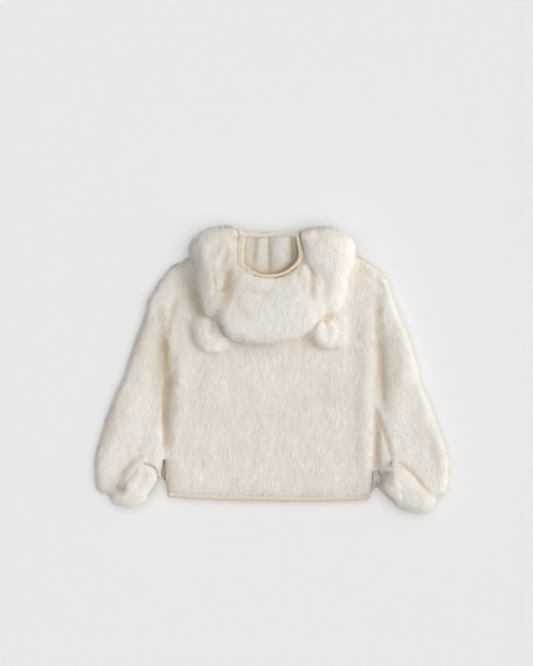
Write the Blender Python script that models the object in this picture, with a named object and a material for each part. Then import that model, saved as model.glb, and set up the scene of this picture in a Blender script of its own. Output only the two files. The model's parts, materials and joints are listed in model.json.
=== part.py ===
"""A toddler's sherpa jacket with a bear-eared hood and fold-over mitts.

The jacket lies face down: its fronts are on the floor, its back is on top, and its hood is turned
back over the back.  X runs across it, with the wearer's right arm at +X, Y runs from hem to hood
and Z is up.  Every size is in millimetres and becomes metres when a mesh is made.
"""

import bmesh
import bpy
import numpy as np

MM = 0.001

# ---------------------------------------------------------------- driving sizes, mm
SEAM = 0.4  # gap between two pieces that are sewn, or lie, together
ARMHOLE_GAP = 0.95  # a sleeve stays this clear of the body's rounded side
FRONT_TOP = 9.2  # a front is backing and pile, pressed by what lies on it
BACK_TOP = 22.0
BACK_RIM = 10.9  # height of the side seam, where back and fronts meet
BODY_ROUND = 10.0  # how far in from an edge the body is full height
FRONT_ROUND = 8.0
FRONT_RIM = 0.15  # share of a front's thickness that its rounded rim keeps
SLEEVE_RIM = 10.5
SLEEVE_TOP = 24.0
SLEEVE_ROUND = 12.0
SLEEVE_UNDER_ROUND = 8.0
SLEEVE_WALL = 11.0
SLEEVE_SLIT = 0.7  # half the gap between the sleeve's two layers
SLEEVE_SLIT_Z = 11.8
MOUTH_SHARE = 0.45  # share of a sleeve's height that its open ends keep
MOUTH_ROUND = 9.0
MOUTH_UNDER_ROUND = 6.0
LAP_HALF = 12.0  # the fronts pass each other by twice this much
LAP_EASE = 2.0
LAP_RAMP = 8.0
LAP_SPLIT = 4.4  # height where the two lapped edges part
LAP_GAP = 0.8
LAP_SPREAD = 24.0  # the under-lap's raised strip widens by this much towards the neck
LAP_SPREAD_HEIGHTS = (70.0, 105.0)
LAP_RECESS = 1.5  # the placket stands this far off the floor, over its studs
STUD_RADIUS = 6.5
STUD_THICK = 1.0
STUD_BEVEL = 1.2
STUD_SIDES = 14
BINDING_WIDTH = 5.0
BINDING_THICK = 4.6
HEM_BINDING_RINGS = 17
HEM_SHARES = (0.008, 0.992)  # how far across the hem its bindings reach
MITT_BINDING_THICK = 2.6
HOOD_BINDING_THICK = 3.2
NAPE_THICK = 8.3
NAPE_NECK_DROP = 5.0  # the nape thins by this much at the neckline
NAPE_NECK_ROUND = 8.0
LINING_TOP = 37.4
LINING_EDGE = 2.0
LINING_END_ROUND = 6.0
LINING_SIDE_ROUND = 5.0
LINING_SHOWN = (95.0, 135.0)  # the lining's folds start between these heights
CROWN_TOP = 54.0
CROWN_RIM = 43.5  # the crown's height where it is sewn to the side panels
CROWN_WALL = 8.5
CROWN_EDGE_WALL = 4.5
CROWN_MOUTH_TOP = 50.0
CROWN_MOUTH_ROUND = 40.0
CROWN_SIDE_ROUND = 16.0
CROWN_WALL_ROUND = 12.0
POUCH_ROUND = 14.0
POUCH_INNER_ROUND = 9.0
POUCH_MIDDLE = 38.0
POUCH_HOLLOW = 10.0  # depth of cloth at the fold below the pouch
LOBE_ROUND = 22.0
MITT_ROUND = 13.0
EAR_THICK = 8.6
EAR_EDGE = 3.0
EAR_ROUND = 6.0
EAR_FACE_THICK = 3.2
EAR_FACE_EDGE = 0.8
EAR_FACE_ROUND = 5.0
EAR_FACE_INSET = 6.5
EAR_CREASE_DEPTH = 1.8
EAR_CREASE_WIDTH = 4.0
EAR_CREASE_ENDS = (8.0, 24.0)  # the crease fades between these lengths from the root
MITT_DRAPE = (2.0, 11.0)
DRAPE = (5.5, 16.0)  # how far out from an edge a fold over it starts to drop, and is on the floor
BODY_ROWS = 12  # even rows of points on the back and on each front
BODY_COLUMNS = 11
FRONT_COLUMNS = 4
PAD_EDGE = 2.2  # least thickness of a pad
PAD_INSET = 4.0  # how far a pad's flat underside lies inside its outline
NEAR_RIM = (0.0, 1.5, 5.0, 10.0)  # stations that follow a rounded rim
NEAR_SHOULDER = (0.0, 1.5, 5.0, 11.0, 18.0, 26.0, 34.0, 42.0, 52.0)
NEAR_NECK = (0.0, 3.0, 6.0, 9.0, 12.0, 15.0, 19.0, 25.0)  # stations of a fold over the neckline
NEAR_MOUTH = (0.0, 3.0, 9.0)
NEAR_EAR_RIM = (0.0, 1.5, 5.0)

# ---------------------------------------------------------------- tables, mm
ROW = "left_x left_y right_x right_y sag"

BACK_ROWS = (  # hem to neck; the last four run up the shoulders to the neckline
    (-147.7, -173.2, 139.3, -177.4, 4.2),
    (-149.5, -150.0, 142.5, -152.0, 2.0),
    (-149.0, -120.0, 143.0, -120.0, 0.0),
    (-146.0, -71.0, 142.0, -65.0, 0.0),
    (-142.0, -15.0, 145.0, -15.0, 0.0),
    (-139.0, 30.0, 150.0, 34.0, 0.0),
    (-134.0, 70.0, 154.0, 76.0, 0.0),
    (-131.5, 105.0, 155.0, 110.0, 0.0),
    (-132.5, 135.0, 153.5, 132.0, 0.0),
    (-130.0, 147.5, 146.0, 143.0, 0.0),
    (-110.0, 160.0, 119.0, 157.0, 1.0),
    (-86.0, 172.0, 90.0, 171.0, 4.0),
    (-60.0, 182.0, 60.0, 182.0, 10.0),
)

FRONT_EDGE = (  # height and distance from the centre line: front edge, then half the neckline
    (-182.0, 12.0),
    (110.0, 12.0),
    (122.0, 10.0),
    (129.0, -8.0),
    (138.0, -30.0),
    (152.0, -46.0),
    (168.0, -54.0),
    (182.0, -58.0),
)

SLEEVE_LEFT_ROWS = (  # armhole to cuff; left is the sleeve's outer edge, right its underarm edge
    (-132.0, 149.5, -138.5, 31.0, -4.0),
    (-146.0, 138.0, -140.0, 23.0, -3.0),
    (-161.0, 116.0, -141.0, 12.0, -2.0),
    (-173.0, 90.0, -142.0, -1.0, 0.0),
    (-184.5, 58.0, -143.5, -18.0, 0.0),
    (-197.0, 22.0, -145.0, -39.0, 0.0),
    (-211.0, -15.0, -146.5, -62.0, 1.0),
    (-224.5, -48.0, -148.5, -84.0, 2.0),
    (-236.0, -79.0, -150.0, -104.0, 3.0),
    (-244.0, -107.0, -151.5, -122.0, 4.0),
    (-248.5, -130.0, -153.5, -138.0, 4.0),
    (-249.5, -146.0, -156.5, -146.0, 2.0),
    (-246.5, -162.0, -161.0, -152.0, 0.0),
    (-240.0, -174.5, -167.0, -157.0, 0.0),
)

SLEEVE_RIGHT_ROWS = (  # armhole to cuff; left is the underarm edge, right the sleeve's outer edge
    (149.0, 33.0, 153.0, 140.0, 3.0),
    (149.0, 22.0, 162.0, 122.0, 1.0),
    (148.0, 10.0, 169.0, 102.0, 0.0),
    (146.5, -5.0, 178.0, 80.0, 0.0),
    (145.0, -23.0, 188.0, 54.0, 0.0),
    (144.0, -43.0, 199.0, 18.0, 0.0),
    (143.0, -63.0, 211.0, -19.0, 1.0),
    (143.0, -84.0, 224.0, -54.0, 2.0),
    (143.5, -105.0, 236.0, -84.0, 3.0),
    (146.0, -122.0, 244.0, -108.0, 4.0),
    (148.5, -135.0, 248.0, -132.0, 4.0),
    (150.5, -143.5, 248.0, -150.0, 2.0),
    (153.0, -149.5, 245.5, -167.0, 0.0),
    (157.0, -155.0, 238.5, -179.5, 0.0),
)

PAD = "left_x left_y right_x right_y sag rim_left rim_right top"

LOBE_LEFT_ROWS = (  # top of the hood's side panel down to the ear; left is its outer edge
    (-71.0, 199.8, -57.0, 199.6, 0.0, 14.0, 14.0, 24.0),
    (-89.0, 196.0, -47.0, 194.6, 0.0, 14.0, 20.0, 40.0),
    (-107.0, 185.5, -44.0, 186.9, 0.0, 16.0, 26.0, 51.0),
    (-116.2, 172.9, -44.8, 174.3, 0.0, 20.0, 32.0, 57.0),
    (-115.5, 158.9, -46.2, 160.3, 0.0, 26.0, 37.0, 59.0),
    (-107.1, 144.9, -47.6, 146.3, 0.0, 31.0, 39.0, 58.0),
    (-104.3, 129.5, -58.1, 131.6, 0.0, 32.0, 38.0, 55.0),
    (-101.5, 111.3, -63.0, 112.7, 0.0, 32.0, 37.0, 52.0),
    (-98.0, 94.5, -67.9, 95.9, 0.0, 31.0, 35.0, 48.0),
    (-95.2, 80.5, -74.2, 81.2, 0.0, 29.0, 32.0, 43.0),
    (-91.7, 71.5, -79.0, 71.5, 0.0, 28.0, 29.0, 36.0),
)

LOBE_RIGHT_ROWS = (  # the same panel on the other side; right is its outer edge
    (60.0, 198.2, 78.0, 198.0, 0.0, 14.0, 14.0, 24.0),
    (43.0, 193.5, 93.0, 193.2, 0.0, 20.0, 14.0, 40.0),
    (38.0, 185.5, 105.7, 185.5, 0.0, 26.0, 16.0, 51.0),
    (41.3, 172.9, 113.4, 172.9, 0.0, 32.0, 20.0, 57.0),
    (45.5, 158.9, 113.4, 158.9, 0.0, 37.0, 26.0, 59.0),
    (52.5, 144.9, 109.9, 144.9, 0.0, 39.0, 31.0, 58.0),
    (59.5, 129.5, 105.7, 129.5, 0.0, 38.0, 32.0, 55.0),
    (61.3, 114.1, 101.5, 111.3, 0.0, 37.0, 32.0, 52.0),
    (60.9, 95.9, 97.3, 94.5, 0.0, 35.0, 31.0, 48.0),
    (63.7, 81.9, 93.8, 80.5, 0.0, 32.0, 29.0, 43.0),
    (69.0, 73.5, 85.0, 72.5, 0.0, 29.0, 28.0, 36.0),
)

CROWN_ROWS = (  # hood edge down to the fold at the bottom of the pouch
    (-47.6, 147.0, 45.5, 156.5, 25.0),
    (-52.0, 138.0, 50.0, 148.5, 22.0),
    (-58.1, 127.5, 56.5, 137.0, 16.0),
    (-62.5, 111.3, 60.5, 121.0, 9.0),
    (-67.0, 94.5, 60.0, 102.9, 5.0),
    (-73.5, 79.5, 62.0, 85.0, 4.0),
    (-73.0, 66.0, 63.0, 73.0, 5.0),
    (-66.0, 54.0, 60.0, 64.0, 9.0),
    (-57.0, 44.0, 51.0, 55.5, 13.0),
)

NAPE_ROWS = (  # the same panel's lower layer, from the pouch's fold up to the neck
    (-57.0, 44.0, 51.0, 55.5, 13.0),
    (-73.0, 66.0, 63.0, 73.0, 5.0),
    (-67.0, 94.5, 60.0, 102.9, 3.0),
    (-58.1, 127.5, 56.5, 137.0, 0.0),
    (-47.6, 147.0, 46.0, 156.5, 0.0),
    (-45.5, 170.0, 41.0, 174.0, 0.0),
    (-43.5, 189.0, 37.5, 188.5, 0.0),
)

LINING_ROWS = (  # the hood's fur lining, from inside the pouch up to the neck
    (-46.0, 74.0, 44.0, 80.0, 4.0),
    (-50.0, 92.0, 46.0, 98.0, 2.0),
    (-51.0, 122.0, 48.0, 128.0, 0.0),
    (-48.0, 147.0, 46.0, 154.0, 0.0),
    (-46.0, 170.0, 41.5, 172.0, 0.0),
    (-43.5, 186.0, 37.5, 185.5, 0.0),
)

LINING_FOLDS = (  # across position, half width and height of each soft fold in the hood's lining
    (-30.0, 7.0, -1.6),
    (-17.0, 8.0, 1.0),
    (-3.0, 6.0, -2.6),
    (12.0, 9.0, 1.2),
    (33.0, 8.0, -2.4),
)

HOOD_EDGE_LEFT = (  # the bound hood edge beside the mouth: x, y, z and the binding's half width
    (-39.0, 186.0, 38.6, 3.4),
    (-40.9, 176.0, 40.0, 3.9),
    (-41.6, 166.0, 42.0, 4.2),
    (-41.8, 156.5, 43.6, 4.0),
    (-41.2, 149.0, 44.2, 3.6),
)

HOOD_EDGE_RIGHT = (
    (39.6, 153.5, 44.0, 3.4),
    (40.6, 162.0, 42.6, 3.6),
    (38.6, 172.0, 40.4, 3.2),
    (35.4, 186.0, 38.6, 2.4),
)

HOOD_EDGE_HALF = 2.7  # the binding's half width along the crown

EAR_WIDTHS = (  # share of the ear's length from its root, and its half width there
    (0.0, 11.0),
    (0.06, 14.5),
    (0.16, 18.0),
    (0.3, 20.8),
    (0.46, 21.8),
    (0.62, 21.0),
    (0.76, 18.2),
    (0.88, 13.8),
    (0.96, 8.5),
    (1.0, 4.0),
)

EARS = (  # side, root x and y, tip x and y
    ("left", -80.0, 71.0, -85.0, 26.5),
    ("right", 74.5, 75.0, 79.0, 29.0),
)

MITT_LEFT_ROWS = (  # the turned-back mitt, from its bound end down and round the cuff
    (-183.4, -132.3, -165.9, -135.8, 0.0, 29.0, 28.0, 32.0),
    (-187.6, -139.3, -159.6, -144.9, 0.0, 30.0, 27.0, 36.0),
    (-193.9, -149.1, -158.9, -155.4, 0.0, 30.0, 25.0, 38.0),
    (-200.2, -158.2, -164.5, -164.5, 0.0, 30.0, 18.0, 38.0),
    (-207.2, -167.3, -172.9, -177.1, 0.0, 28.0, 14.0, 37.0),
    (-216.3, -172.9, -184.1, -187.6, 0.0, 24.0, 13.0, 35.0),
    (-224.0, -177.8, -199.5, -191.3, 0.0, 18.0, 13.0, 31.0),
    (-226.8, -182.0, -214.9, -191.3, 0.0, 13.0, 13.0, 25.0),
    (-223.6, -187.6, -219.1, -190.0, 0.0, 12.0, 12.0, 16.0),
)

MITT_RIGHT_ROWS = (
    (164.5, -142.1, 176.4, -135.8, 0.0, 29.0, 29.0, 32.0),
    (157.5, -151.2, 184.1, -140.5, 0.0, 27.0, 30.0, 36.0),
    (152.3, -162.4, 193.0, -148.4, 0.0, 21.0, 30.0, 38.0),
    (156.8, -174.3, 202.0, -156.8, 0.0, 14.0, 30.0, 39.0),
    (168.0, -184.1, 210.0, -163.8, 0.0, 13.0, 29.0, 38.0),
    (181.3, -192.5, 217.0, -170.1, 0.0, 13.0, 28.0, 37.0),
    (195.3, -197.7, 222.6, -176.4, 0.0, 13.0, 25.0, 34.0),
    (209.3, -199.4, 226.1, -182.7, 0.0, 13.0, 18.0, 29.0),
    (219.8, -194.5, 225.4, -188.5, 0.0, 12.0, 13.0, 19.0),
)

MITT_EDGES = (  # side, then x, y, z and half width of the bound end of each mitt
    ("left", (
        (-176.5, -130.4, 28.4, 1.4),
        (-167.5, -131.6, 28.2, 2.0),
        (-160.2, -137.0, 27.6, 2.1),
        (-156.6, -145.5, 26.6, 2.0),
        (-156.0, -151.5, 25.4, 1.3),
    )),
    ("right", (
        (170.2, -135.6, 25.9, 2.2),
        (171.0, -133.4, 26.1, 3.2),
        (171.9, -130.2, 26.1, 3.4),
        (172.6, -127.2, 25.7, 2.2),
    )),
)

BODY_FOLDS = (  # soft folds on the back: ends, half width and height
    (137.0, -150.0, 136.0, 60.0, 9.0, 1.6),
    (-128.0, 20.0, -118.0, 100.0, 10.0, 1.5),
    (60.0, -150.0, 48.0, -70.0, 22.0, -0.9),
    (-70.0, -140.0, -62.0, -60.0, 24.0, 0.8),
)

SLEEVE_FOLDS = (  # soft folds across and along the sleeves
    (-150.0, 92.0, -168.0, 20.0, 9.0, 1.6),
    (-163.0, -70.0, -214.0, -98.0, 9.0, -1.8),
    (160.0, 60.0, 172.0, -60.0, 10.0, 1.6),
    (165.0, -92.0, 216.0, -104.0, 9.0, -1.8),
)

STUD_HEIGHTS = (-150.0, -88.0, -26.0, 36.0, 98.0)

STRIP_SECTION = (  # a folded tape's section: share of its half width, and of its thickness
    (1.0, 0.0),
    (0.8, 0.42),
    (0.0, 0.5),
    (-0.8, 0.42),
    (-1.0, 0.0),
    (-0.8, -0.42),
    (0.0, -0.5),
    (0.8, -0.42),
)

COLOURS = {
    "sherpa": (0.80, 0.72, 0.62, 1.0),
    "binding": (0.78, 0.66, 0.54, 1.0),
    "ear_face": (0.86, 0.80, 0.71, 1.0),
    "stud": (0.70, 0.62, 0.52, 1.0),
}


# ---------------------------------------------------------------- curves and outlines
def column(rows, names, name):
    return np.array([row[names.split().index(name)] for row in rows], float)


def smooth(knots, values, at):
    """A curve through values at knots that never overshoots them."""
    knots, values, at = (np.asarray(v, float) for v in (knots, values, at))
    step = np.diff(knots)
    slope = np.diff(values) / step
    tangent = np.zeros(len(knots))
    for k in range(1, len(knots) - 1):
        if slope[k - 1] * slope[k] > 0:
            weight = step[k - 1] + 2 * step[k], 2 * step[k - 1] + step[k]
            tangent[k] = sum(weight) / (weight[0] / slope[k] + weight[1] / slope[k - 1])
    tangent[0], tangent[-1] = slope[0], slope[-1]
    k = np.clip(np.searchsorted(knots, at) - 1, 0, len(step) - 1)
    u = (at - knots[k]) / step[k]
    return (
        (1 + 2 * u) * (1 - u) ** 2 * values[k]
        + u * (1 - u) ** 2 * step[k] * tangent[k]
        + u**2 * (3 - 2 * u) * values[k + 1]
        + u**2 * (u - 1) * step[k] * tangent[k + 1]
    )


def stations(length, count, near=NEAR_RIM, far=NEAR_RIM):
    """Places along a length: those named from each end, and count even ones between them."""
    shrink = min(1.0, length / (1.25 * (near[-1] + far[-1])))
    near = np.array(near) * shrink
    far = length - np.array(far)[::-1] * shrink
    return np.concatenate([near[:-1], np.linspace(near[-1], far[0], count), far[1:]])


def dome(depth, radius):
    """A round edge: 0 on the outline, and 1 once depth reaches the radius."""
    reach = np.clip(depth / radius, 0, 1)
    return np.sqrt(1 - (1 - reach) ** 2)


def ramp(at, start, end):
    """0 before start, 1 after end and a smooth step between."""
    share = np.clip((at - start) / (end - start), 0, 1)
    return share * share * (3 - 2 * share)


class Outline:
    """A closed line on the floor plan, and how deep inside it a point lies."""

    def __init__(self, points):
        self.points = np.asarray(points, float)

    def nearest(self, xy):
        start = self.points
        along = np.roll(start, -1, axis=0) - start
        to = xy[..., None, :] - start
        share = np.clip((to * along).sum(-1) / np.maximum((along**2).sum(-1), 1e-9), 0, 1)
        away = to - share[..., None] * along
        length = np.sqrt((away**2).sum(-1))
        best = length.argmin(-1)[..., None]
        return (
            np.take_along_axis(length, best, -1)[..., 0],
            np.take_along_axis(away, best[..., None], -2)[..., 0, :],
        )

    def inside(self, xy):
        start = self.points
        end = np.roll(start, -1, axis=0)
        x, y = xy[..., 0, None], xy[..., 1, None]
        spans = (start[:, 1] > y) != (end[:, 1] > y)
        rise = np.where(end[:, 1] == start[:, 1], 1e-9, end[:, 1] - start[:, 1])
        crossing = start[:, 0] + (y - start[:, 1]) * (end[:, 0] - start[:, 0]) / rise
        return (spans & (x < crossing)).sum(-1) % 2 == 1

    def depth(self, xy):
        length, _ = self.nearest(xy)
        return np.where(self.inside(xy), length, -length)

    def clear(self, xy, gap=SEAM):
        """The points, with any that lie inside this outline or too near it moved just clear."""
        for _ in range(4):
            length, away = self.nearest(xy)
            inside = self.inside(xy)
            outward = np.where(inside[..., None], -away, away)
            outward = outward / np.maximum(length, 1e-6)[..., None]
            depth = np.where(inside, length, -length)
            short = np.maximum(depth + gap, 0)
            xy = xy + outward * (short * 1.002 + (short > 0) * 1e-3)[..., None]
        return xy


class Patch:
    """A piece of cloth on the floor plan: rows from one side to the other, one after another."""

    def __init__(self, rows, names=ROW, clear_of=(), gap=SEAM, bow=2.4, knots=None):
        self.rows = rows
        self.names = names
        self.clear_of = clear_of
        self.gap = gap
        self.bow = bow
        middle = 0.5 * np.array([[row[0] + row[2], row[1] + row[3]] for row in rows])
        steps = np.maximum(np.sqrt((np.diff(middle, axis=0) ** 2).sum(-1)), 1.0)
        self.knots = np.concatenate([[0], np.cumsum(steps)]) if knots is None else knots
        self.length = self.knots[-1]
        self.outline = self.bound_by(
            self.points(np.linspace(0, self.length, 65), np.tile(np.linspace(0, 1, 33), (65, 1)))
        )

    def bound_by(self, grid):
        """The closed line round a grid of points."""
        return Outline(np.concatenate([grid[:, 0], grid[-1, 1:-1], grid[::-1, -1], grid[0, -2:0:-1]]))

    def value(self, name, at):
        return smooth(self.knots, column(self.rows, self.names, name), at)

    def points(self, at, share):
        """Points on the rows at these stations, at these shares of the way across each."""
        left = np.stack([self.value("left_x", at), self.value("left_y", at)], -1)
        right = np.stack([self.value("right_x", at), self.value("right_y", at)], -1)
        across = right - left
        width = np.sqrt((across**2).sum(-1))
        down = np.stack([across[:, 1], -across[:, 0]], -1) / width[:, None]
        sag = self.value("sag", at)[:, None] * (1 - np.abs(2 * share - 1) ** self.bow)
        xy = left[:, None] + across[:, None] * share[..., None] + down[:, None] * sag[..., None]
        for outline in self.clear_of:
            xy = outline.clear(xy, self.gap)
        return xy

    def grid(self, along, across, near=NEAR_RIM, far=NEAR_RIM, ends=(NEAR_RIM, NEAR_RIM)):
        """Stations, shares and points of a grid, with close lines along its rounded rims."""
        at = stations(self.length, along, *ends)
        left = np.stack([self.value("left_x", at), self.value("left_y", at)], -1)
        right = np.stack([self.value("right_x", at), self.value("right_y", at)], -1)
        width = np.sqrt(((right - left) ** 2).sum(-1))
        share = np.array([stations(w, across, near, far) / w for w in width])
        xy = self.points(at, share)
        self.outline = self.bound_by(xy)
        return at, share, xy

    def depth(self, xy):
        """How deep each point of a grid lies inside the outline, and exactly 0 along the grid's edges."""
        depth = self.outline.depth(xy)
        depth[0] = depth[-1] = depth[:, 0] = depth[:, -1] = 0
        return depth


def raised(xy, z):
    return np.concatenate([xy, np.broadcast_to(z, xy.shape[:-1])[..., None]], -1)


def folds(xy, table):
    """The height that a table of soft folds adds at each point."""
    height = np.zeros(xy.shape[:-1])
    for x0, y0, x1, y1, half_width, rise in table:
        start, along = np.array([x0, y0]), np.array([x1 - x0, y1 - y0])
        share = ((xy - start) @ along) / (along @ along)
        nearest = start + np.clip(share, 0, 1)[..., None] * along
        distance = np.sqrt(((xy - nearest) ** 2).sum(-1))
        height += rise * np.exp(-((distance / half_width) ** 2))
    return height


# ---------------------------------------------------------------- solids
def material(name):
    made = bpy.data.materials.new(name)
    made.use_nodes = True
    shader = made.node_tree.nodes["Principled BSDF"]
    kind = "sherpa"
    for word in COLOURS:
        if word in name:
            kind = word
    shader.inputs["Base Color"].default_value = COLOURS[kind]
    shader.inputs["Roughness"].default_value = 0.4 if kind == "stud" else 0.95
    shader.inputs["Metallic"].default_value = 0.0
    return made


def make_object(name, vertices, faces):
    """A smooth-shaded object from millimetre points and faces, with every face turned outward."""
    mesh = bpy.data.meshes.new(name)
    mesh.from_pydata((np.asarray(vertices) * MM).tolist(), [], faces)
    shape = bmesh.new()
    shape.from_mesh(mesh)
    bmesh.ops.recalc_face_normals(shape, faces=shape.faces)
    shape.to_mesh(mesh)
    shape.free()
    mesh.shade_smooth()
    mesh.materials.append(material(name))
    made = bpy.data.objects.new(name, mesh)
    bpy.context.scene.collection.objects.link(made)
    return made


def solid(name, outer, inner, ring=False):
    """The closed solid between two grids of points.  In a ring each row closes on itself."""
    rows, columns = outer.shape[:2]
    size = rows * columns
    last = columns if ring else columns - 1

    def at(side, i, j):
        return side * size + i * columns + j % columns

    faces = []
    for i in range(rows - 1):
        for j in range(last):
            faces.append((at(0, i, j), at(0, i, j + 1), at(0, i + 1, j + 1), at(0, i + 1, j)))
            faces.append((at(1, i, j), at(1, i + 1, j), at(1, i + 1, j + 1), at(1, i, j + 1)))
        if not ring:
            for j in (0, columns - 1):
                faces.append((at(0, i, j), at(0, i + 1, j), at(1, i + 1, j), at(1, i, j)))
    for i in (0, rows - 1):
        for j in range(last):
            faces.append((at(0, i, j), at(0, i, j + 1), at(1, i, j + 1), at(1, i, j)))
    points = np.concatenate([outer.reshape(-1, 3), inner.reshape(-1, 3)])
    return make_object(name, points, faces)


def ring_faces(rings, sides):
    """Faces of a body whose points run ring by ring, with a flat cap at each end."""
    faces = []
    for i in range(rings - 1):
        for j in range(sides):
            k = (j + 1) % sides
            faces.append((i * sides + j, i * sides + k, (i + 1) * sides + k, (i + 1) * sides + j))
    faces.append(tuple(range(sides)))
    faces.append(tuple((rings - 1) * sides + j for j in range(sides)))
    return faces


def strip(name, path, thick, count):
    """A binding: a rounded strip that follows points of x, y, z and half width."""
    path = np.asarray(path, float)
    steps = np.sqrt((np.diff(path[:, :3], axis=0) ** 2).sum(-1))
    knots = np.concatenate([[0], np.cumsum(steps)])
    at = np.linspace(0, knots[-1], count)
    x, y, z, half = (smooth(knots, path[:, k], at) for k in range(4))
    tangent = np.gradient(np.stack([x, y], -1), axis=0)
    tangent /= np.sqrt((tangent**2).sum(-1))[:, None]
    side = np.stack([-tangent[:, 1], tangent[:, 0]], -1)
    rings = []
    for wide, high in STRIP_SECTION:
        plan = np.stack([x, y], -1) + side * (half * wide)[:, None]
        rings.append(raised(plan, z + thick * high))
    grid = np.stack(rings, 1)
    return make_object(name, grid.reshape(-1, 3), ring_faces(count, len(STRIP_SECTION)))


def pad(name, patch, base, along, across, radius):
    """A rounded pad of folded cloth that lies on the height that base gives at each point."""
    at, share, xy = patch.grid(along, across)
    depth = patch.depth(xy)
    left, right = patch.value("rim_left", at)[:, None], patch.value("rim_right", at)[:, None]
    rim = left + (right - left) * share
    top = rim + (patch.value("top", at)[:, None] - rim) * dome(depth, radius)
    top = np.maximum(top, base(xy) + PAD_EDGE)
    centre = xy.mean((0, 1))
    low = xy.copy()
    for line in (np.s_[0], np.s_[-1], np.s_[:, 0], np.s_[:, -1]):
        inward = centre - low[line]
        inward /= np.sqrt((inward**2).sum(-1))[:, None]
        low[line] = xy[line] + inward * PAD_INSET
    inner = low[1:-1, 1:-1]
    crowd = patch.outline.depth(inner)
    _, away = patch.outline.nearest(inner)
    push = np.maximum(1.25 * PAD_INSET - crowd, 0) / np.maximum(crowd, SEAM)
    low[1:-1, 1:-1] = inner + away * push[..., None]
    return solid(name, raised(xy, top), raised(low, base(low)))


# ---------------------------------------------------------------- the body
def front_patch(side, body):
    """Half of the body's outline, from its side to the lapped front edge and the neckline."""
    heights = [row[0] for row in FRONT_EDGE]
    edge = [row[1] for row in FRONT_EDGE]
    rows = []
    for left_x, left_y, right_x, right_y, sag in BACK_ROWS:
        if side == "left":
            middle = float(smooth(heights, edge, [right_y])[0])
            rows.append((left_x, left_y, middle, left_y - sag, 0.0))
        else:
            middle = float(-smooth(heights, edge, [left_y])[0])
            rows.append((middle, right_y - sag, right_x, right_y, 0.0))
    return Patch(rows, knots=body.knots)


def build_back(body):
    _, _, xy = body.grid(BODY_ROWS, BODY_COLUMNS, ends=(NEAR_RIM, NEAR_SHOULDER))
    full = dome(body.depth(xy), BODY_ROUND)
    top = BACK_RIM + (BACK_TOP - BACK_RIM + folds(xy, BODY_FOLDS)) * full
    solid("back", raised(xy, top), raised(xy, FRONT_TOP + SEAM))


def build_front(side, body):
    patch = front_patch(side, body)
    width = 2 * LAP_HALF + LAP_EASE
    lap_edge = (*NEAR_RIM[:3], LAP_HALF, width, width + LAP_RAMP)
    near, far = (NEAR_RIM, lap_edge) if side == "left" else (lap_edge, NEAR_RIM)
    _, _, xy = patch.grid(BODY_ROWS, FRONT_COLUMNS, near, far, ends=(NEAR_RIM, NEAR_SHOULDER))
    depth = patch.depth(xy)
    if side == "left":
        inward = -xy[..., 0]
    else:
        inward = xy[..., 0] - LAP_SPREAD * ramp(xy[..., 1], *LAP_SPREAD_HEIGHTS)
    lapped = 1 - ramp(inward, LAP_HALF + LAP_EASE, LAP_HALF + LAP_EASE + LAP_RAMP)
    if side == "left":
        top = FRONT_TOP + (LAP_SPLIT - LAP_GAP / 2 - FRONT_TOP) * lapped
        bottom = LAP_RECESS * lapped
    else:
        top = np.full(depth.shape, FRONT_TOP)
        bottom = (LAP_SPLIT + LAP_GAP / 2) * lapped
    rise = (1 - FRONT_RIM) * (top - bottom)
    bottom = bottom + rise * (1 - dome(depth, FRONT_ROUND))
    solid(f"front_{side}", raised(xy, top), raised(xy, bottom))
    return patch


def build_hem_bindings(panels):
    """Folded tape along each panel's lower edge.  The outer lap's tape dips below the inner lap."""
    share = np.linspace(*HEM_SHARES, 240)[None]
    for name, patch in panels.items():
        x, y = patch.points(np.array([0.0]), share)[0].T
        z = np.full(len(x), FRONT_TOP - BINDING_THICK / 2)
        if name == "back":
            z += BINDING_THICK + SEAM
        if name == "front_left":
            z -= (FRONT_TOP - LAP_SPLIT - SEAM) * ramp(x, -LAP_HALF - LAP_RAMP, -LAP_HALF)
        half = np.full(len(x), BINDING_WIDTH / 2)
        path = np.stack([x, y - BINDING_WIDTH / 2 - SEAM, z, half], -1)
        if name == "front_right":
            path = path[x > LAP_HALF + LAP_EASE]
        strip(f"hem_binding_{name}", path, BINDING_THICK, HEM_BINDING_RINGS)


def build_studs():
    """Press-stud caps on the placket's face, just off the floor."""
    angle = np.linspace(0, 2 * np.pi, STUD_SIDES, endpoint=False)
    low = LAP_RECESS - SEAM - STUD_THICK
    rings = (
        (STUD_RADIUS - STUD_BEVEL, low),
        (STUD_RADIUS, low + STUD_THICK / 2),
        (STUD_RADIUS, low + STUD_THICK),
    )
    for number, height in enumerate(STUD_HEIGHTS, 1):
        points = []
        for radius, z in rings:
            points += [(radius * np.cos(a), height + radius * np.sin(a), z) for a in angle]
        make_object(f"stud_{number}", points, ring_faces(len(rings), STUD_SIDES))


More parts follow.
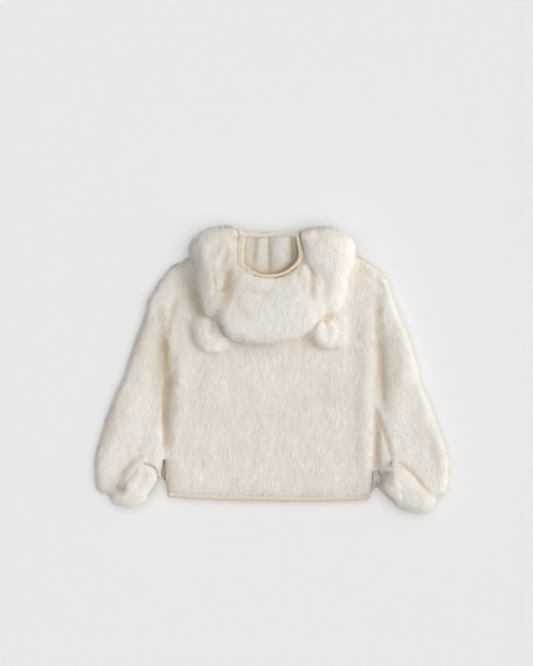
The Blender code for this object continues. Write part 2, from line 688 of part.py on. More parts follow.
# ---------------------------------------------------------------- sleeves and mitts
def build_sleeve(side, patch):
    """A flattened tube, open at the armhole and at the cuff, with a narrow slit inside it."""
    at, share, xy = patch.grid(15, 7, ends=(NEAR_MOUTH, NEAR_MOUTH))
    left, right = xy[:, 0], xy[:, -1]
    width = np.sqrt(((right - left) ** 2).sum(-1))[:, None]
    lateral = np.minimum(share, 1 - share) * width
    end = np.minimum(at, patch.length - at)[:, None]
    above = MOUTH_SHARE + (1 - MOUTH_SHARE) * dome(end, MOUTH_ROUND)
    below = MOUTH_SHARE + (1 - MOUTH_SHARE) * dome(end, MOUTH_UNDER_ROUND)
    swell = SLEEVE_TOP - SLEEVE_RIM + folds(xy, SLEEVE_FOLDS)
    top = SLEEVE_RIM + swell * dome(lateral, SLEEVE_ROUND) * above
    bottom = SLEEVE_RIM * (1 - dome(lateral, SLEEVE_UNDER_ROUND) * below)
    slit_share = SLEEVE_WALL / width + share * (1 - 2 * SLEEVE_WALL / width)
    slit = patch.points(at, slit_share)
    slit_half = np.full(share.shape, SLEEVE_SLIT)
    slit_half[:, 0] = slit_half[:, -1] = 0

    def ring(points, upper, lower):
        return np.concatenate([raised(points, upper), raised(points, lower)[:, -2:0:-1]], 1)

    solid(
        f"sleeve_{side}",
        ring(xy, top, bottom),
        ring(slit, SLEEVE_SLIT_Z + slit_half, SLEEVE_SLIT_Z - slit_half),
        ring=True,
    )


def over(outline, height, drape=DRAPE):
    """The lower side of what is folded over a piece's edge: on top of it, then down to the floor."""

    def base(xy):
        return (height + SEAM) * ramp(outline.depth(xy), -drape[1], -drape[0])

    return base


def build_mitt(side, rows, sleeve):
    under = over(sleeve.outline, SLEEVE_TOP + SEAM, MITT_DRAPE)
    pad(f"mitt_{side}", Patch(rows, PAD), under, 7, 4, MITT_ROUND)


# ---------------------------------------------------------------- the hood
def build_lobe(side, patch, body):
    pad(f"hood_side_{side}", patch, over(body.outline, BACK_TOP), 11, 5, LOBE_ROUND)


def crown_shape(xy, at):
    """Height and wall of the crown: full in the middle, less at its seams and at the hood's edge."""
    from_left = np.sqrt(((xy - xy[:, :1]) ** 2).sum(-1))
    from_right = np.sqrt(((xy - xy[:, -1:]) ** 2).sum(-1))
    across = np.minimum(from_left, from_right)
    along = at[:, None]
    swell = CROWN_MOUTH_TOP + (CROWN_TOP - CROWN_MOUTH_TOP) * dome(along, CROWN_MOUTH_ROUND)
    top = CROWN_RIM + (swell - CROWN_RIM) * dome(across, CROWN_SIDE_ROUND)
    firm = dome(across, CROWN_WALL_ROUND) * dome(along, CROWN_WALL_ROUND)
    return top, CROWN_EDGE_WALL + (CROWN_WALL - CROWN_EDGE_WALL) * firm


def build_hood_centre(lobes, body):
    """The hood's middle panel: crown on top, a fold at the pouch's bottom, and the nape below."""
    outlines = tuple(lobe.outline for lobe in lobes)
    crown = Patch(CROWN_ROWS, clear_of=outlines)
    nape = Patch(NAPE_ROWS, clear_of=outlines, gap=0.7)
    upper_at, upper_share, upper = crown.grid(8, 9, ends=((0.0, 4.0), NEAR_RIM))
    lower_at, lower_share, lower = nape.grid(7, 9, ends=(NEAR_RIM, NEAR_NECK))
    to_fold = (crown.length - upper_at)[:, None]
    top, wall = crown_shape(upper, upper_at)
    outer_up = POUCH_MIDDLE + (top - POUCH_MIDDLE) * dome(to_fold, POUCH_ROUND)
    inner_up = POUCH_MIDDLE + (top - wall - POUCH_MIDDLE) * dome(to_fold, POUCH_INNER_ROUND)
    bottom = over(body.outline, BACK_TOP)(lower)
    from_fold = lower_at[:, None]
    outer_down = POUCH_MIDDLE + (bottom - POUCH_MIDDLE) * dome(from_fold, POUCH_ROUND)
    nape_drop = BACK_TOP + SEAM + NAPE_THICK - POUCH_MIDDLE
    inner_down = POUCH_MIDDLE + nape_drop * dome(from_fold, POUCH_INNER_ROUND)
    inner_down -= NAPE_NECK_DROP * (1 - dome(nape.length - from_fold, NAPE_NECK_ROUND))
    upper_in = crown.points(upper_at * (1 - POUCH_HOLLOW / crown.length), upper_share)
    lower_in = nape.points(POUCH_HOLLOW + lower_at * (1 - POUCH_HOLLOW / nape.length), lower_share)
    outer = np.concatenate([raised(upper, outer_up), raised(lower, outer_down)[1:]])
    inner = np.concatenate([raised(upper_in, inner_up), raised(lower_in, inner_down)[1:]])
    solid("hood_centre", outer, inner)
    return crown


def build_hood_binding(crown):
    """Folded tape round the hood's mouth: down one side, along the crown and up the other side."""
    share = np.linspace(0.09, 0.91, 13)[None]
    edge, behind = (crown.points(np.array([back]), share)[0] for back in (0.0, 3.0))
    out = edge - behind
    out /= np.sqrt((out**2).sum(-1))[:, None]
    middle = edge + out * (HOOD_EDGE_HALF + 1.5 * SEAM)
    side = np.minimum(edge[:, 0] - edge[0, 0], edge[-1, 0] - edge[:, 0]) + BINDING_WIDTH
    z = CROWN_RIM + (CROWN_MOUTH_TOP - CROWN_RIM) * dome(side, CROWN_SIDE_ROUND) - CROWN_EDGE_WALL / 2
    along_crown = [(x, y, high, HOOD_EDGE_HALF) for (x, y), high in zip(middle, z)]
    path = [*HOOD_EDGE_LEFT, *along_crown, *HOOD_EDGE_RIGHT]
    strip("hood_binding", path, HOOD_BINDING_THICK, 37)


def build_lining(lobes):
    """Fur lining that shows in the hood's mouth, with soft folds that run up to the neck."""
    patch = Patch(LINING_ROWS, clear_of=tuple(lobe.outline for lobe in lobes), gap=0.6)
    rim = NEAR_RIM[:2]
    at, share, xy = patch.grid(7, 13, near=rim, far=rim, ends=((0.0, 5.0), NEAR_RIM[:3]))
    width = np.sqrt(((xy[:, -1] - xy[:, 0]) ** 2).sum(-1))[:, None]
    bottom = BACK_TOP + NAPE_THICK + 2 * SEAM
    wave = np.zeros(xy.shape[:-1])
    for middle, half_width, rise in LINING_FOLDS:
        wave += rise * np.exp(-(((xy[..., 0] - middle) / half_width) ** 2))
    ends = dome(np.minimum(at, patch.length - at)[:, None], LINING_END_ROUND)
    sides = dome(np.minimum(share, 1 - share) * width, LINING_SIDE_ROUND)
    low = bottom + LINING_EDGE
    top = low + (LINING_TOP - low + wave * ramp(xy[..., 1], *LINING_SHOWN)) * ends * sides
    solid("hood_lining", raised(xy, top), raised(xy, bottom))


def leaf_rows(root, tip, widths, inset):
    """Rows of a round leaf from its root to its tip."""
    root, tip = np.array(root), np.array(tip)
    length = np.sqrt(((tip - root) ** 2).sum())
    along = (tip - root) / length
    side = np.array([along[1], -along[0]])
    rows = []
    for share, half in widths:
        middle = root + along * (inset + share * (length - 2 * inset))
        reach = side * half * (1 - 2 * inset / length)
        left, right = middle + reach, middle - reach
        rows.append((left[0], left[1], right[0], right[1], 0.0))
    return rows


def build_ear(side, root, tip, neighbours):
    """A fur ear that lies on the back, with a smooth face that is creased at its root."""
    fur = Patch(leaf_rows(root, tip, EAR_WIDTHS, 0.0), clear_of=neighbours, gap=1.5)
    rims = {"near": NEAR_EAR_RIM, "far": NEAR_EAR_RIM, "ends": (NEAR_EAR_RIM, NEAR_EAR_RIM)}
    _, _, xy = fur.grid(6, 5, **rims)
    low = BACK_TOP + SEAM
    high = low + EAR_EDGE + (EAR_THICK - EAR_EDGE) * dome(fur.depth(xy), EAR_ROUND)
    solid(f"ear_{side}", raised(xy, high), raised(xy, low))
    face = Patch(leaf_rows(root, tip, EAR_WIDTHS, EAR_FACE_INSET), clear_of=neighbours, gap=2.5)
    at, _, xy = face.grid(5, 5, **rims)
    low += EAR_THICK + SEAM
    off = np.sqrt(((xy - (xy[:, :1] + xy[:, -1:]) / 2) ** 2).sum(-1)) / EAR_CREASE_WIDTH
    crease = EAR_CREASE_DEPTH * np.exp(-(off**2)) * (1 - ramp(at[:, None], *EAR_CREASE_ENDS))
    swell = EAR_FACE_THICK - EAR_FACE_EDGE - crease
    high = low + EAR_FACE_EDGE + swell * dome(face.depth(xy), EAR_FACE_ROUND)
    solid(f"ear_face_{side}", raised(xy, high), raised(xy, low))


# ---------------------------------------------------------------- the whole jacket
def stand_on_origin():
    """Moves every mesh so that the middle of the part's underside is the world's origin."""
    objects = [made for made in bpy.data.objects if made.type == "MESH"]
    points = np.array([tuple(vertex.co) for made in objects for vertex in made.data.vertices])
    low, high = points.min(0), points.max(0)
    middle = np.array([(low[0] + high[0]) / 2, (low[1] + high[1]) / 2, low[2]])
    for made in objects:
        for vertex in made.data.vertices:
            vertex.co = np.array(vertex.co) - middle
    print("moved by", np.round(middle / MM, 3), "mm; size", np.round((high - low) / MM, 1), "mm")


def main():
    for old in list(bpy.data.objects):
        bpy.data.objects.remove(old, do_unlink=True)
    body = Patch(BACK_ROWS)
    build_back(body)
    panels = {"back": body}
    for side in ("left", "right"):
        panels[f"front_{side}"] = build_front(side, body)
    build_hem_bindings(panels)
    build_studs()
    clear = {"clear_of": (body.outline,), "gap": ARMHOLE_GAP}
    sleeves = {"left": Patch(SLEEVE_LEFT_ROWS, **clear), "right": Patch(SLEEVE_RIGHT_ROWS, **clear)}
    mitts = {"left": MITT_LEFT_ROWS, "right": MITT_RIGHT_ROWS}
    for side, patch in sleeves.items():
        build_sleeve(side, patch)
        build_mitt(side, mitts[side], patch)
    for side, path in MITT_EDGES:
        strip(f"mitt_binding_{side}", path, MITT_BINDING_THICK, 8)
    lobes = {"left": Patch(LOBE_LEFT_ROWS, PAD), "right": Patch(LOBE_RIGHT_ROWS, PAD)}
    for side, patch in lobes.items():
        build_lobe(side, patch, body)
    crown = build_hood_centre(lobes.values(), body)
    build_lining(lobes.values())
    build_hood_binding(crown)
    for side, root_x, root_y, tip_x, tip_y in EARS:
        neighbours = (lobes[side].outline, crown.outline)
        build_ear(side, (root_x, root_y), (tip_x, tip_y), neighbours)
    stand_on_origin()


main()
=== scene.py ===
# %% [markdown]
# # A toddler's sherpa jacket, laid flat with its back up
# The jacket is cut from long-pile plush: a knitted backing with a fur of fine locks on its outer
# side.  Its hood is turned back over the shoulders, with two bear ears, and its fold-over mitts are
# turned back over the cuffs.  The hood's edge, the hem and the mitts' ends are bound with smooth
# stretch tape.  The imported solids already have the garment's form, so this lesson dresses them: each
# one becomes a thin cloth backing, and a pile of modelled locks grows from it.
# Everything is in metres.  X runs across the jacket, Y from hem to hood and Z up.

# %% Load the frame
import json
import math
from dataclasses import dataclass

import bpy
import numpy as np
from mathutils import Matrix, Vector
from mathutils.bvhtree import BVHTree

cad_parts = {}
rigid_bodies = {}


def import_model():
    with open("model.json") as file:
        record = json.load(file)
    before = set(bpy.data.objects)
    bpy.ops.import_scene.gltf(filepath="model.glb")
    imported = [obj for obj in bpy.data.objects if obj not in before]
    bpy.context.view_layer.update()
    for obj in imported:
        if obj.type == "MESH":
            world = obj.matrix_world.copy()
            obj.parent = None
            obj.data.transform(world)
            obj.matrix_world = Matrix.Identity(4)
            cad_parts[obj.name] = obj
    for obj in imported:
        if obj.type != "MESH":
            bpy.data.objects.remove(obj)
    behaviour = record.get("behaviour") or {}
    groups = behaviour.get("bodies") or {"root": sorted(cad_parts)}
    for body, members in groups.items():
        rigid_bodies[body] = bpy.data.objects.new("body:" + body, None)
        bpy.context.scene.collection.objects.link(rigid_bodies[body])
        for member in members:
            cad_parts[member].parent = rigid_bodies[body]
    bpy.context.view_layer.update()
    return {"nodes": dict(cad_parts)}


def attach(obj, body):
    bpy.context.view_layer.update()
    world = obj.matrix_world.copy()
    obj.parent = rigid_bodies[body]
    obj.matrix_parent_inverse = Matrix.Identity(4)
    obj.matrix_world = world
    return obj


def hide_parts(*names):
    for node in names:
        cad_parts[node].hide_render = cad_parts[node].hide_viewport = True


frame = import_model()
MM = 0.001

# %% [markdown]
# ## The camera
# The picture was taken from straight above.  One pixel of its 533 by 666 frame is 1.4 mm on the
# jacket, so a long lens high above the floor is set to take in that much.  A long lens keeps the
# hood, which stands 60 mm high, from leaning outward.

# %% Camera
MM_A_PIXEL = 1.4
PICTURE = (533, 666)
PICTURE_MIDDLE = (-6.45 * MM, 50.9 * MM)
JACKET_LEVEL = 20 * MM
CAMERA_HEIGHT = 2.7

camera_data = bpy.data.cameras.new("camera")
camera_data.sensor_width = 36.0
long_side = PICTURE[1] * MM_A_PIXEL * MM
camera_data.lens = camera_data.sensor_width * (CAMERA_HEIGHT - JACKET_LEVEL) / long_side
camera_data.clip_end = 20.0
camera = bpy.data.objects.new("camera", camera_data)
camera.location = (*PICTURE_MIDDLE, CAMERA_HEIGHT)
bpy.context.scene.collection.objects.link(camera)
bpy.context.scene.camera = camera
print("lens:", round(camera_data.lens, 1), "mm")

# %% [markdown]
# ## Shader maths as Python
# A material is a graph of nodes.  Wiring it by hand takes many lines, so one small class wraps a
# socket: `+`, `-` and `*` on it add a Math node, and `shader.node(...)` adds any other one.  The
# reflected operators let a number come first, as in `0.4 - tint`.

# %% A socket that takes part in sums
class Value:
    """One output socket of a material's node graph."""

    def __init__(self, shader, socket):
        self.shader = shader
        self.socket = socket

    def math(self, operation, *others):
        """A Math node on this socket and others."""
        sockets = dict(enumerate([self, *others]))
        return self.shader.node("ShaderNodeMath", {"operation": operation}, sockets)

    def __add__(self, other):
        return self.math("ADD", other)

    def __mul__(self, other):
        return self.math("MULTIPLY", other)

    def __sub__(self, other):
        return self.math("SUBTRACT", other)

    def __rsub__(self, other):
        return (self * -1.0) + other

    __radd__ = __add__
    __rmul__ = __mul__

    def clamped(self):
        """The value held between 0 and 1."""
        return self.math("MAXIMUM", 0.0).math("MINIMUM", 1.0)


class Shader:
    """A material with its Principled shader, and a way to add nodes to it."""

    def __init__(self, name, **constants):
        self.material = bpy.data.materials.new(name)
        self.material.use_nodes = True
        self.tree = self.material.node_tree
        self.principled = self.tree.nodes["Principled BSDF"]
        for socket, constant in constants.items():
            self.principled.inputs[socket.replace("_", " ")].default_value = constant

    def connect(self, value, socket):
        """Links a socket to a value, or sets it to a constant."""
        if isinstance(value, Value):
            self.tree.links.new(value.socket, socket)
        else:
            socket.default_value = value

    def node(self, kind, settings, sockets, output=0):
        """Adds a node, sets it up and joins its sockets; the answer is one of its outputs."""
        made = self.tree.nodes.new(kind)
        for setting, value in settings.items():
            if setting == "stops":
                for place, (at, colour) in zip(made.color_ramp.elements, value):
                    place.position, place.color = at, colour
            else:
                setattr(made, setting, value)
        for key, value in sockets.items():
            self.connect(value, made.inputs[key])
        return Value(self, made.outputs[output])

    def mix(self, factor, first, second, blend="MIX"):
        """A mix of two colours.  Sockets 6 and 7 of a Mix node are its colours."""
        settings = {"data_type": "RGBA", "blend_type": blend}
        return self.node("ShaderNodeMix", settings, {0: factor, 6: first, 7: second}, 2)

    def attribute(self, name):
        """A number that each point of the mesh carries."""
        return self.node("ShaderNodeAttribute", {"attribute_name": name}, {}, 2)

    def grey(self, value):
        """A number as a grey colour."""
        return self.node("ShaderNodeCombineColor", {}, {0: value, 1: value, 2: value})

    def place(self):
        """Where a point is on the jacket, in metres."""
        return self.node("ShaderNodeTexCoord", {}, {}, 3)

    def noise(self, scale, detail=2.0, roughness=0.5, stretch=(1.0, 1.0, 1.0)):
        """Cloudy noise with so many clouds a metre, finer along the stretched sides."""
        where = self.node("ShaderNodeMapping", {}, {0: self.place(), 3: stretch})
        sockets = {"Vector": where, "Scale": scale, "Detail": detail, "Roughness": roughness}
        return self.node("ShaderNodeTexNoise", {}, sockets)

    def bump(self, height, depth, strength=1.0):
        """Normals that make a height from 0 to 1 look as deep as given, in metres."""
        sockets = {"Height": height, "Distance": depth, "Strength": strength}
        return self.node("ShaderNodeBump", {}, sockets)

    def feed(self, socket, value):
        """Sends a value to a socket of the Principled shader."""
        self.connect(value, self.principled.inputs[socket])


print("a socket takes part in +, - and *")

# %% [markdown]
# ## Colours
# The plush is a warm cream.  A lock is lightest at its tip and turns to sand at its root, where the
# backing shows between locks.  Light that bounces between the locks gives a tan shade in the
# creases, which is painted into the pile's colour here as PILE_SHADE.  The tape is a peach cream
# jersey, and the ears' faces are a short brushed velour.

# %% Colours
def colour(red, green, blue):
    """A screen colour from 0 to 255 as the linear light that a shader works in."""
    shares = [channel / 255 for channel in (red, green, blue)]
    linear = [s / 12.92 if s <= 0.04045 else ((s + 0.055) / 1.055) ** 2.4 for s in shares]
    return (*linear, 1.0)


PILE_TIP = colour(242, 239, 234)
PILE_TIP_COOL = colour(240, 239, 236)
PILE_ROOT = colour(234, 223, 207)
WHITE = colour(255, 255, 255)
PILE_SHADE = colour(242, 217, 174)
BACKING = colour(230, 214, 192)
TAPE = colour(240, 228, 212)
TAPE_SHADE = colour(230, 213, 192)
THREAD = colour(206, 184, 152)
VELOUR = colour(238, 231, 220)
RESIN = colour(232, 221, 202)
print("tip of a lock:", np.round(PILE_TIP[:3], 2).tolist())

# %% [markdown]
# ## Finish of the pile
# The pile's finish reads numbers from the points of each lock: how far along it they are, how light
# the lock is and how hidden.  How hidden it is paints shade into the colour, warmer and darker, and
# the tone carries painted shade in creases and painted light and shade on some panels.  So no two
# locks are quite alike, and no picture is needed.  Fine noise across a lock stands for its hairs.

# %% Finish of the pile
HAIRS = {"across": 1.6, "along": 0.7, "apart": 60.0, "scale": 1.5}
ROOT_ENDS = 1.3
PAINTED_SHADE_GAIN = 1.25
LIGHTNESS = {"lock": 0.10, "hairs": 0.08, "least": 0.875}


def pile_finish():
    """Plush locks: sandy roots, cream tips, each lock a little lighter or darker, and painted shade in
    folds.
    """
    shader = Shader("sherpa pile", Roughness=0.8, Specular_IOR_Level=0.2, Sheen_Weight=0.1)
    shader.principled.inputs["Sheen Roughness"].default_value = 0.6
    along = shader.attribute("along")
    tint = shader.attribute("tint")
    aside = shader.attribute("across") * HAIRS["across"] + tint * HAIRS["apart"]
    hair_place = shader.node("ShaderNodeCombineXYZ", {}, {0: aside, 1: along * HAIRS["along"]})
    sockets = {"Vector": hair_place, "Scale": HAIRS["scale"], "Detail": 2.0}
    hairs = shader.node("ShaderNodeTexNoise", {}, sockets)
    tips = shader.mix(shader.noise(38.0, 2.0), PILE_TIP, PILE_TIP_COOL)
    body = shader.mix((along * ROOT_ENDS).clamped(), PILE_ROOT, tips)
    # painted shade: hidden places are tinted toward PILE_SHADE, warm and darker
    painted_shade_tint = shader.mix((shader.attribute("hidden") * PAINTED_SHADE_GAIN).clamped(), WHITE, PILE_SHADE)
    body = shader.mix(1.0, body, painted_shade_tint, "MULTIPLY")
    body = shader.mix((0.4 - tint * 0.5).clamped(), body, PILE_ROOT)
    shade = tint * LIGHTNESS["lock"] + hairs * LIGHTNESS["hairs"] + LIGHTNESS["least"]
    # the tone carries painted light and shade: the raised and lowered tones of some panels, and the
    # darkening of creases
    shade = shade * shader.attribute("tone")
    shader.feed("Base Color", shader.mix(1.0, body, shader.grey(shade), "MULTIPLY"))
    return shader.material


print("the pile's finish reads along, across, tint, hidden and tone")

# %% [markdown]
# ## Finishes of the cloth and trim
# Every other finish is made from noise in the jacket's own space, so that ribs and grain keep their
# real size: fuzz on the knitted backing, ribs of knit on the tape, twist in the thread, a bloom on
# the velour, and flow marks on the moulded caps.

# %% Finishes of the cloth
def backing_finish():
    """The knitted ground between the locks."""
    shader = Shader("plush backing", Roughness=0.95, Specular_IOR_Level=0.1)
    fuzz = shader.noise(900.0, 3.0, 0.7)
    shader.feed("Base Color", shader.mix(fuzz, BACKING, PILE_ROOT))
    shader.feed("Normal", shader.bump(fuzz, 0.6 * MM))
    return shader.material


def tape_finish():
    """Stretch jersey: fine ribs of knit across the tape, and soft painted shade with its puckers."""
    shader = Shader("jersey tape", Roughness=0.75, Specular_IOR_Level=0.25, Sheen_Weight=0.15)
    knit = shader.node(
        "ShaderNodeTexVoronoi",
        {"feature": "SMOOTH_F1"},
        {"Vector": shader.place(), "Scale": 1500.0, "Smoothness": 0.6},
    )
    soft = shader.noise(160.0, 3.0)
    # painted shade: the tape turns darker with the same noise that bumps its puckers
    shader.feed("Base Color", shader.mix(soft, TAPE, TAPE_SHADE))
    shader.feed("Normal", shader.bump(knit * 0.35 + soft, 0.35 * MM))
    return shader.material


print("the tape's knit has ribs")


# %% Finishes of the trim
def thread_finish():
    """Sewing thread: sand coloured, with its twist as fine slanting ribs."""
    shader = Shader("sewing thread", Roughness=0.6, Specular_IOR_Level=0.3, Sheen_Weight=0.2)
    twist = shader.noise(2200.0, 2.0, 0.5, (1.0, 3.0, 1.0))
    shader.feed("Base Color", shader.mix(twist, THREAD, TAPE_SHADE))
    shader.feed("Normal", shader.bump(twist, 0.1 * MM))
    return shader.material


def velour_finish():
    """Short brushed pile: a smooth bloom with a very fine grain."""
    shader = Shader("ear velour", Roughness=0.9, Specular_IOR_Level=0.15, Sheen_Weight=0.3)
    grain = shader.noise(1400.0, 3.0, 0.6)
    cloud = shader.noise(120.0, 2.0)
    tone = grain * 0.4 + cloud * 0.6
    shader.feed("Base Color", shader.mix(tone.clamped(), VELOUR, PILE_TIP_COOL))
    shader.feed("Normal", shader.bump(grain, 0.5 * MM, 0.7))
    return shader.material


def resin_finish():
    """Moulded resin caps with a satin surface and faint flow marks."""
    shader = Shader("resin cap", Specular_IOR_Level=0.4)
    marks = shader.noise(300.0, 4.0, 0.6, (1.0, 1.0, 4.0))
    shader.feed("Base Color", shader.mix(marks, RESIN, TAPE_SHADE))
    shader.feed("Roughness", marks * 0.2 + 0.3)
    shader.feed("Normal", shader.bump(marks, 0.05 * MM))
    return shader.material


# %% All finishes
FINISH = {
    "pile": pile_finish(),
    "backing": backing_finish(),
    "tape": tape_finish(),
    "thread": thread_finish(),
    "velour": velour_finish(),
    "resin": resin_finish(),
}
print("finishes:", ", ".join(FINISH))

# %% [markdown]
# ## Floor and light
# The floor is a pale, plain sheet.  Three soft lights make a studio: the sky all round, a broad
# lamp overhead, and a key lamp low on the right, which models the fur and lets the hood shade the
# left shoulder.  Picture studios light the paper on its own, so that it stays white right up to
# the garment.  Light linking does that here: the key leaves the floor alone, and one more lamp
# lights nothing else.  Real fur also scatters light so well that single locks hardly shade each
# other, so both lamps' shadows are cast by the cloth under the fur.

# %% Floor, lamps and sky
FLOOR_SIZE = 8.0
FLOOR_GREY = 0.89
SKY_STRENGTH = 0.36
OVERHEAD = {"energy": 0.65, "spread": 70, "direction": (0.12, 0.10, 1.0)}
PAPER_LAMP = {"energy": 1.09, "spread": 80, "direction": (0.0, 0.0, 1.0)}
KEY = {"energy": 1.8, "spread": 48, "direction": (0.80, 0.14, 0.44)}

bpy.context.scene.view_settings.view_transform = "Standard"
bpy.ops.mesh.primitive_plane_add(size=FLOOR_SIZE, location=(0.0, 0.0, -0.3 * MM))
floor = bpy.context.active_object
floor.name = "floor"
floor_shader = Shader("floor paper", Roughness=0.9, Specular_IOR_Level=0.1)
floor_shader.feed("Base Color", (FLOOR_GREY, FLOOR_GREY, FLOOR_GREY, 1.0))
floor.data.materials.append(floor_shader.material)


def lamp(name, energy, spread, direction):
    """A sun lamp.  Its spread, in degrees, is how wide it looks, and makes its shadows soft."""
    data = bpy.data.lights.new(name, "SUN")
    data.energy = energy
    data.angle = math.radians(spread)
    light = bpy.data.objects.new(name, data)
    light.rotation_euler = Vector(direction).to_track_quat("Z", "Y").to_euler()
    bpy.context.scene.collection.objects.link(light)
    return light


def leave_out(collection, piece):
    """Light linking: a piece in this collection is passed over."""
    collection.objects.link(piece)
    collection.collection_objects[-1].light_linking.link_state = "EXCLUDE"


overhead = lamp("overhead", **OVERHEAD)
paper_lamp = lamp("paper lamp", **PAPER_LAMP)
paper_lamp.light_linking.receiver_collection = bpy.data.collections.new("lit by the paper lamp")
paper_lamp.light_linking.receiver_collection.objects.link(floor)
key = lamp("key", **KEY)
key.light_linking.receiver_collection = bpy.data.collections.new("not lit by the key")
for light in (key, overhead):
    light.light_linking.blocker_collection = bpy.data.collections.new("casts no lamp shadow")
leave_out(key.light_linking.receiver_collection, floor)

world = bpy.data.worlds.new("sky")
world.use_nodes = True
world.node_tree.nodes["Background"].inputs["Color"].default_value = (1.0, 1.0, 1.0, 1.0)
world.node_tree.nodes["Background"].inputs["Strength"].default_value = SKY_STRENGTH
bpy.context.scene.world = world

# %% [markdown]
# ## Meshes from arrays
# Tens of thousands of locks are far too many to add one at a time.  NumPy works out all their
# points together, and two helpers move arrays into Blender and back.  A third puts a finished mesh
# into the scene: it gives it its finish and lets the piece ride on the jacket's body.

# %% Arrays to meshes and back
def mesh_from(name, points, triangles):
    """A smooth-shaded mesh of triangles."""
    mesh = bpy.data.meshes.new(name)
    mesh.vertices.add(len(points))
    mesh.vertices.foreach_set("co", np.asarray(points, np.float32).ravel())
    mesh.loops.add(3 * len(triangles))
    mesh.loops.foreach_set("vertex_index", np.asarray(triangles, np.int32).ravel())
    mesh.polygons.add(len(triangles))
    mesh.polygons.foreach_set("loop_start", np.arange(0, 3 * len(triangles), 3, dtype=np.int32))
    mesh.update(calc_edges=True)
    mesh.shade_smooth()
    return mesh


def arrays_of(mesh):
    """Points, triangles and point normals of a mesh."""
    mesh.calc_loop_triangles()
    points = np.empty(3 * len(mesh.vertices), np.float32)
    mesh.vertices.foreach_get("co", points)
    triangles = np.empty(3 * len(mesh.loop_triangles), np.int32)
    mesh.loop_triangles.foreach_get("vertices", triangles)
    normals = np.empty(3 * len(mesh.vertices), np.float32)
    mesh.vertices.foreach_get("normal", normals)
    return (
        points.reshape(-1, 3).astype(float),
        triangles.reshape(-1, 3),
        normals.reshape(-1, 3).astype(float),
    )


def add_piece(name, mesh, finish):
    """Puts a mesh in the scene as a piece of the jacket."""
    piece = bpy.data.objects.new(name, mesh)
    bpy.context.scene.collection.objects.link(piece)
    mesh.materials.append(FINISH[finish])
    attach(piece, "root")
    return piece


def unit(vectors):
    """Vectors made one long."""
    return vectors / np.maximum(np.linalg.norm(vectors, axis=-1, keepdims=True), 1e-12)


sizes = [len(solid.data.vertices) for solid in frame["nodes"].values()]
print("points of the largest solid:", max(sizes))

# %% [markdown]
# ## Modifiers as tools
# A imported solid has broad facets.  A voxel remesh gives it even small ones and a smoothing pass
# rounds them.  To use a stack of modifiers as a tool, a helper object wears it once, and the mesh
# that it gives is read back.

# %% Run a stack of modifiers
def evaluated_mesh(mesh, steps):
    """The mesh after a list of modifiers, each given as its type and its settings."""
    worker = bpy.data.objects.new("worker", mesh)
    bpy.context.scene.collection.objects.link(worker)
    for kind, settings in steps:
        modifier = worker.modifiers.new(kind, kind)
        for setting, value in settings.items():
            setattr(modifier, setting, value)
    graph = bpy.context.evaluated_depsgraph_get()
    result = bpy.data.meshes.new_from_object(worker.evaluated_get(graph))
    bpy.data.objects.remove(worker)
    return result


def remesh(voxel):
    """Even facets of about the given size, in mm."""
    return ("REMESH", {"mode": "VOXEL", "voxel_size": voxel * MM})


def swell(distance):
    """Every point pushed outward, in mm."""
    return ("DISPLACE", {"strength": distance * MM, "mid_level": 0.0})


def smooth(rounds):
    """Facets relaxed toward their neighbours."""
    return ("SMOOTH", {"factor": 0.5, "iterations": rounds})


print("tools:", [step(1)[0] for step in (remesh, swell, smooth)])
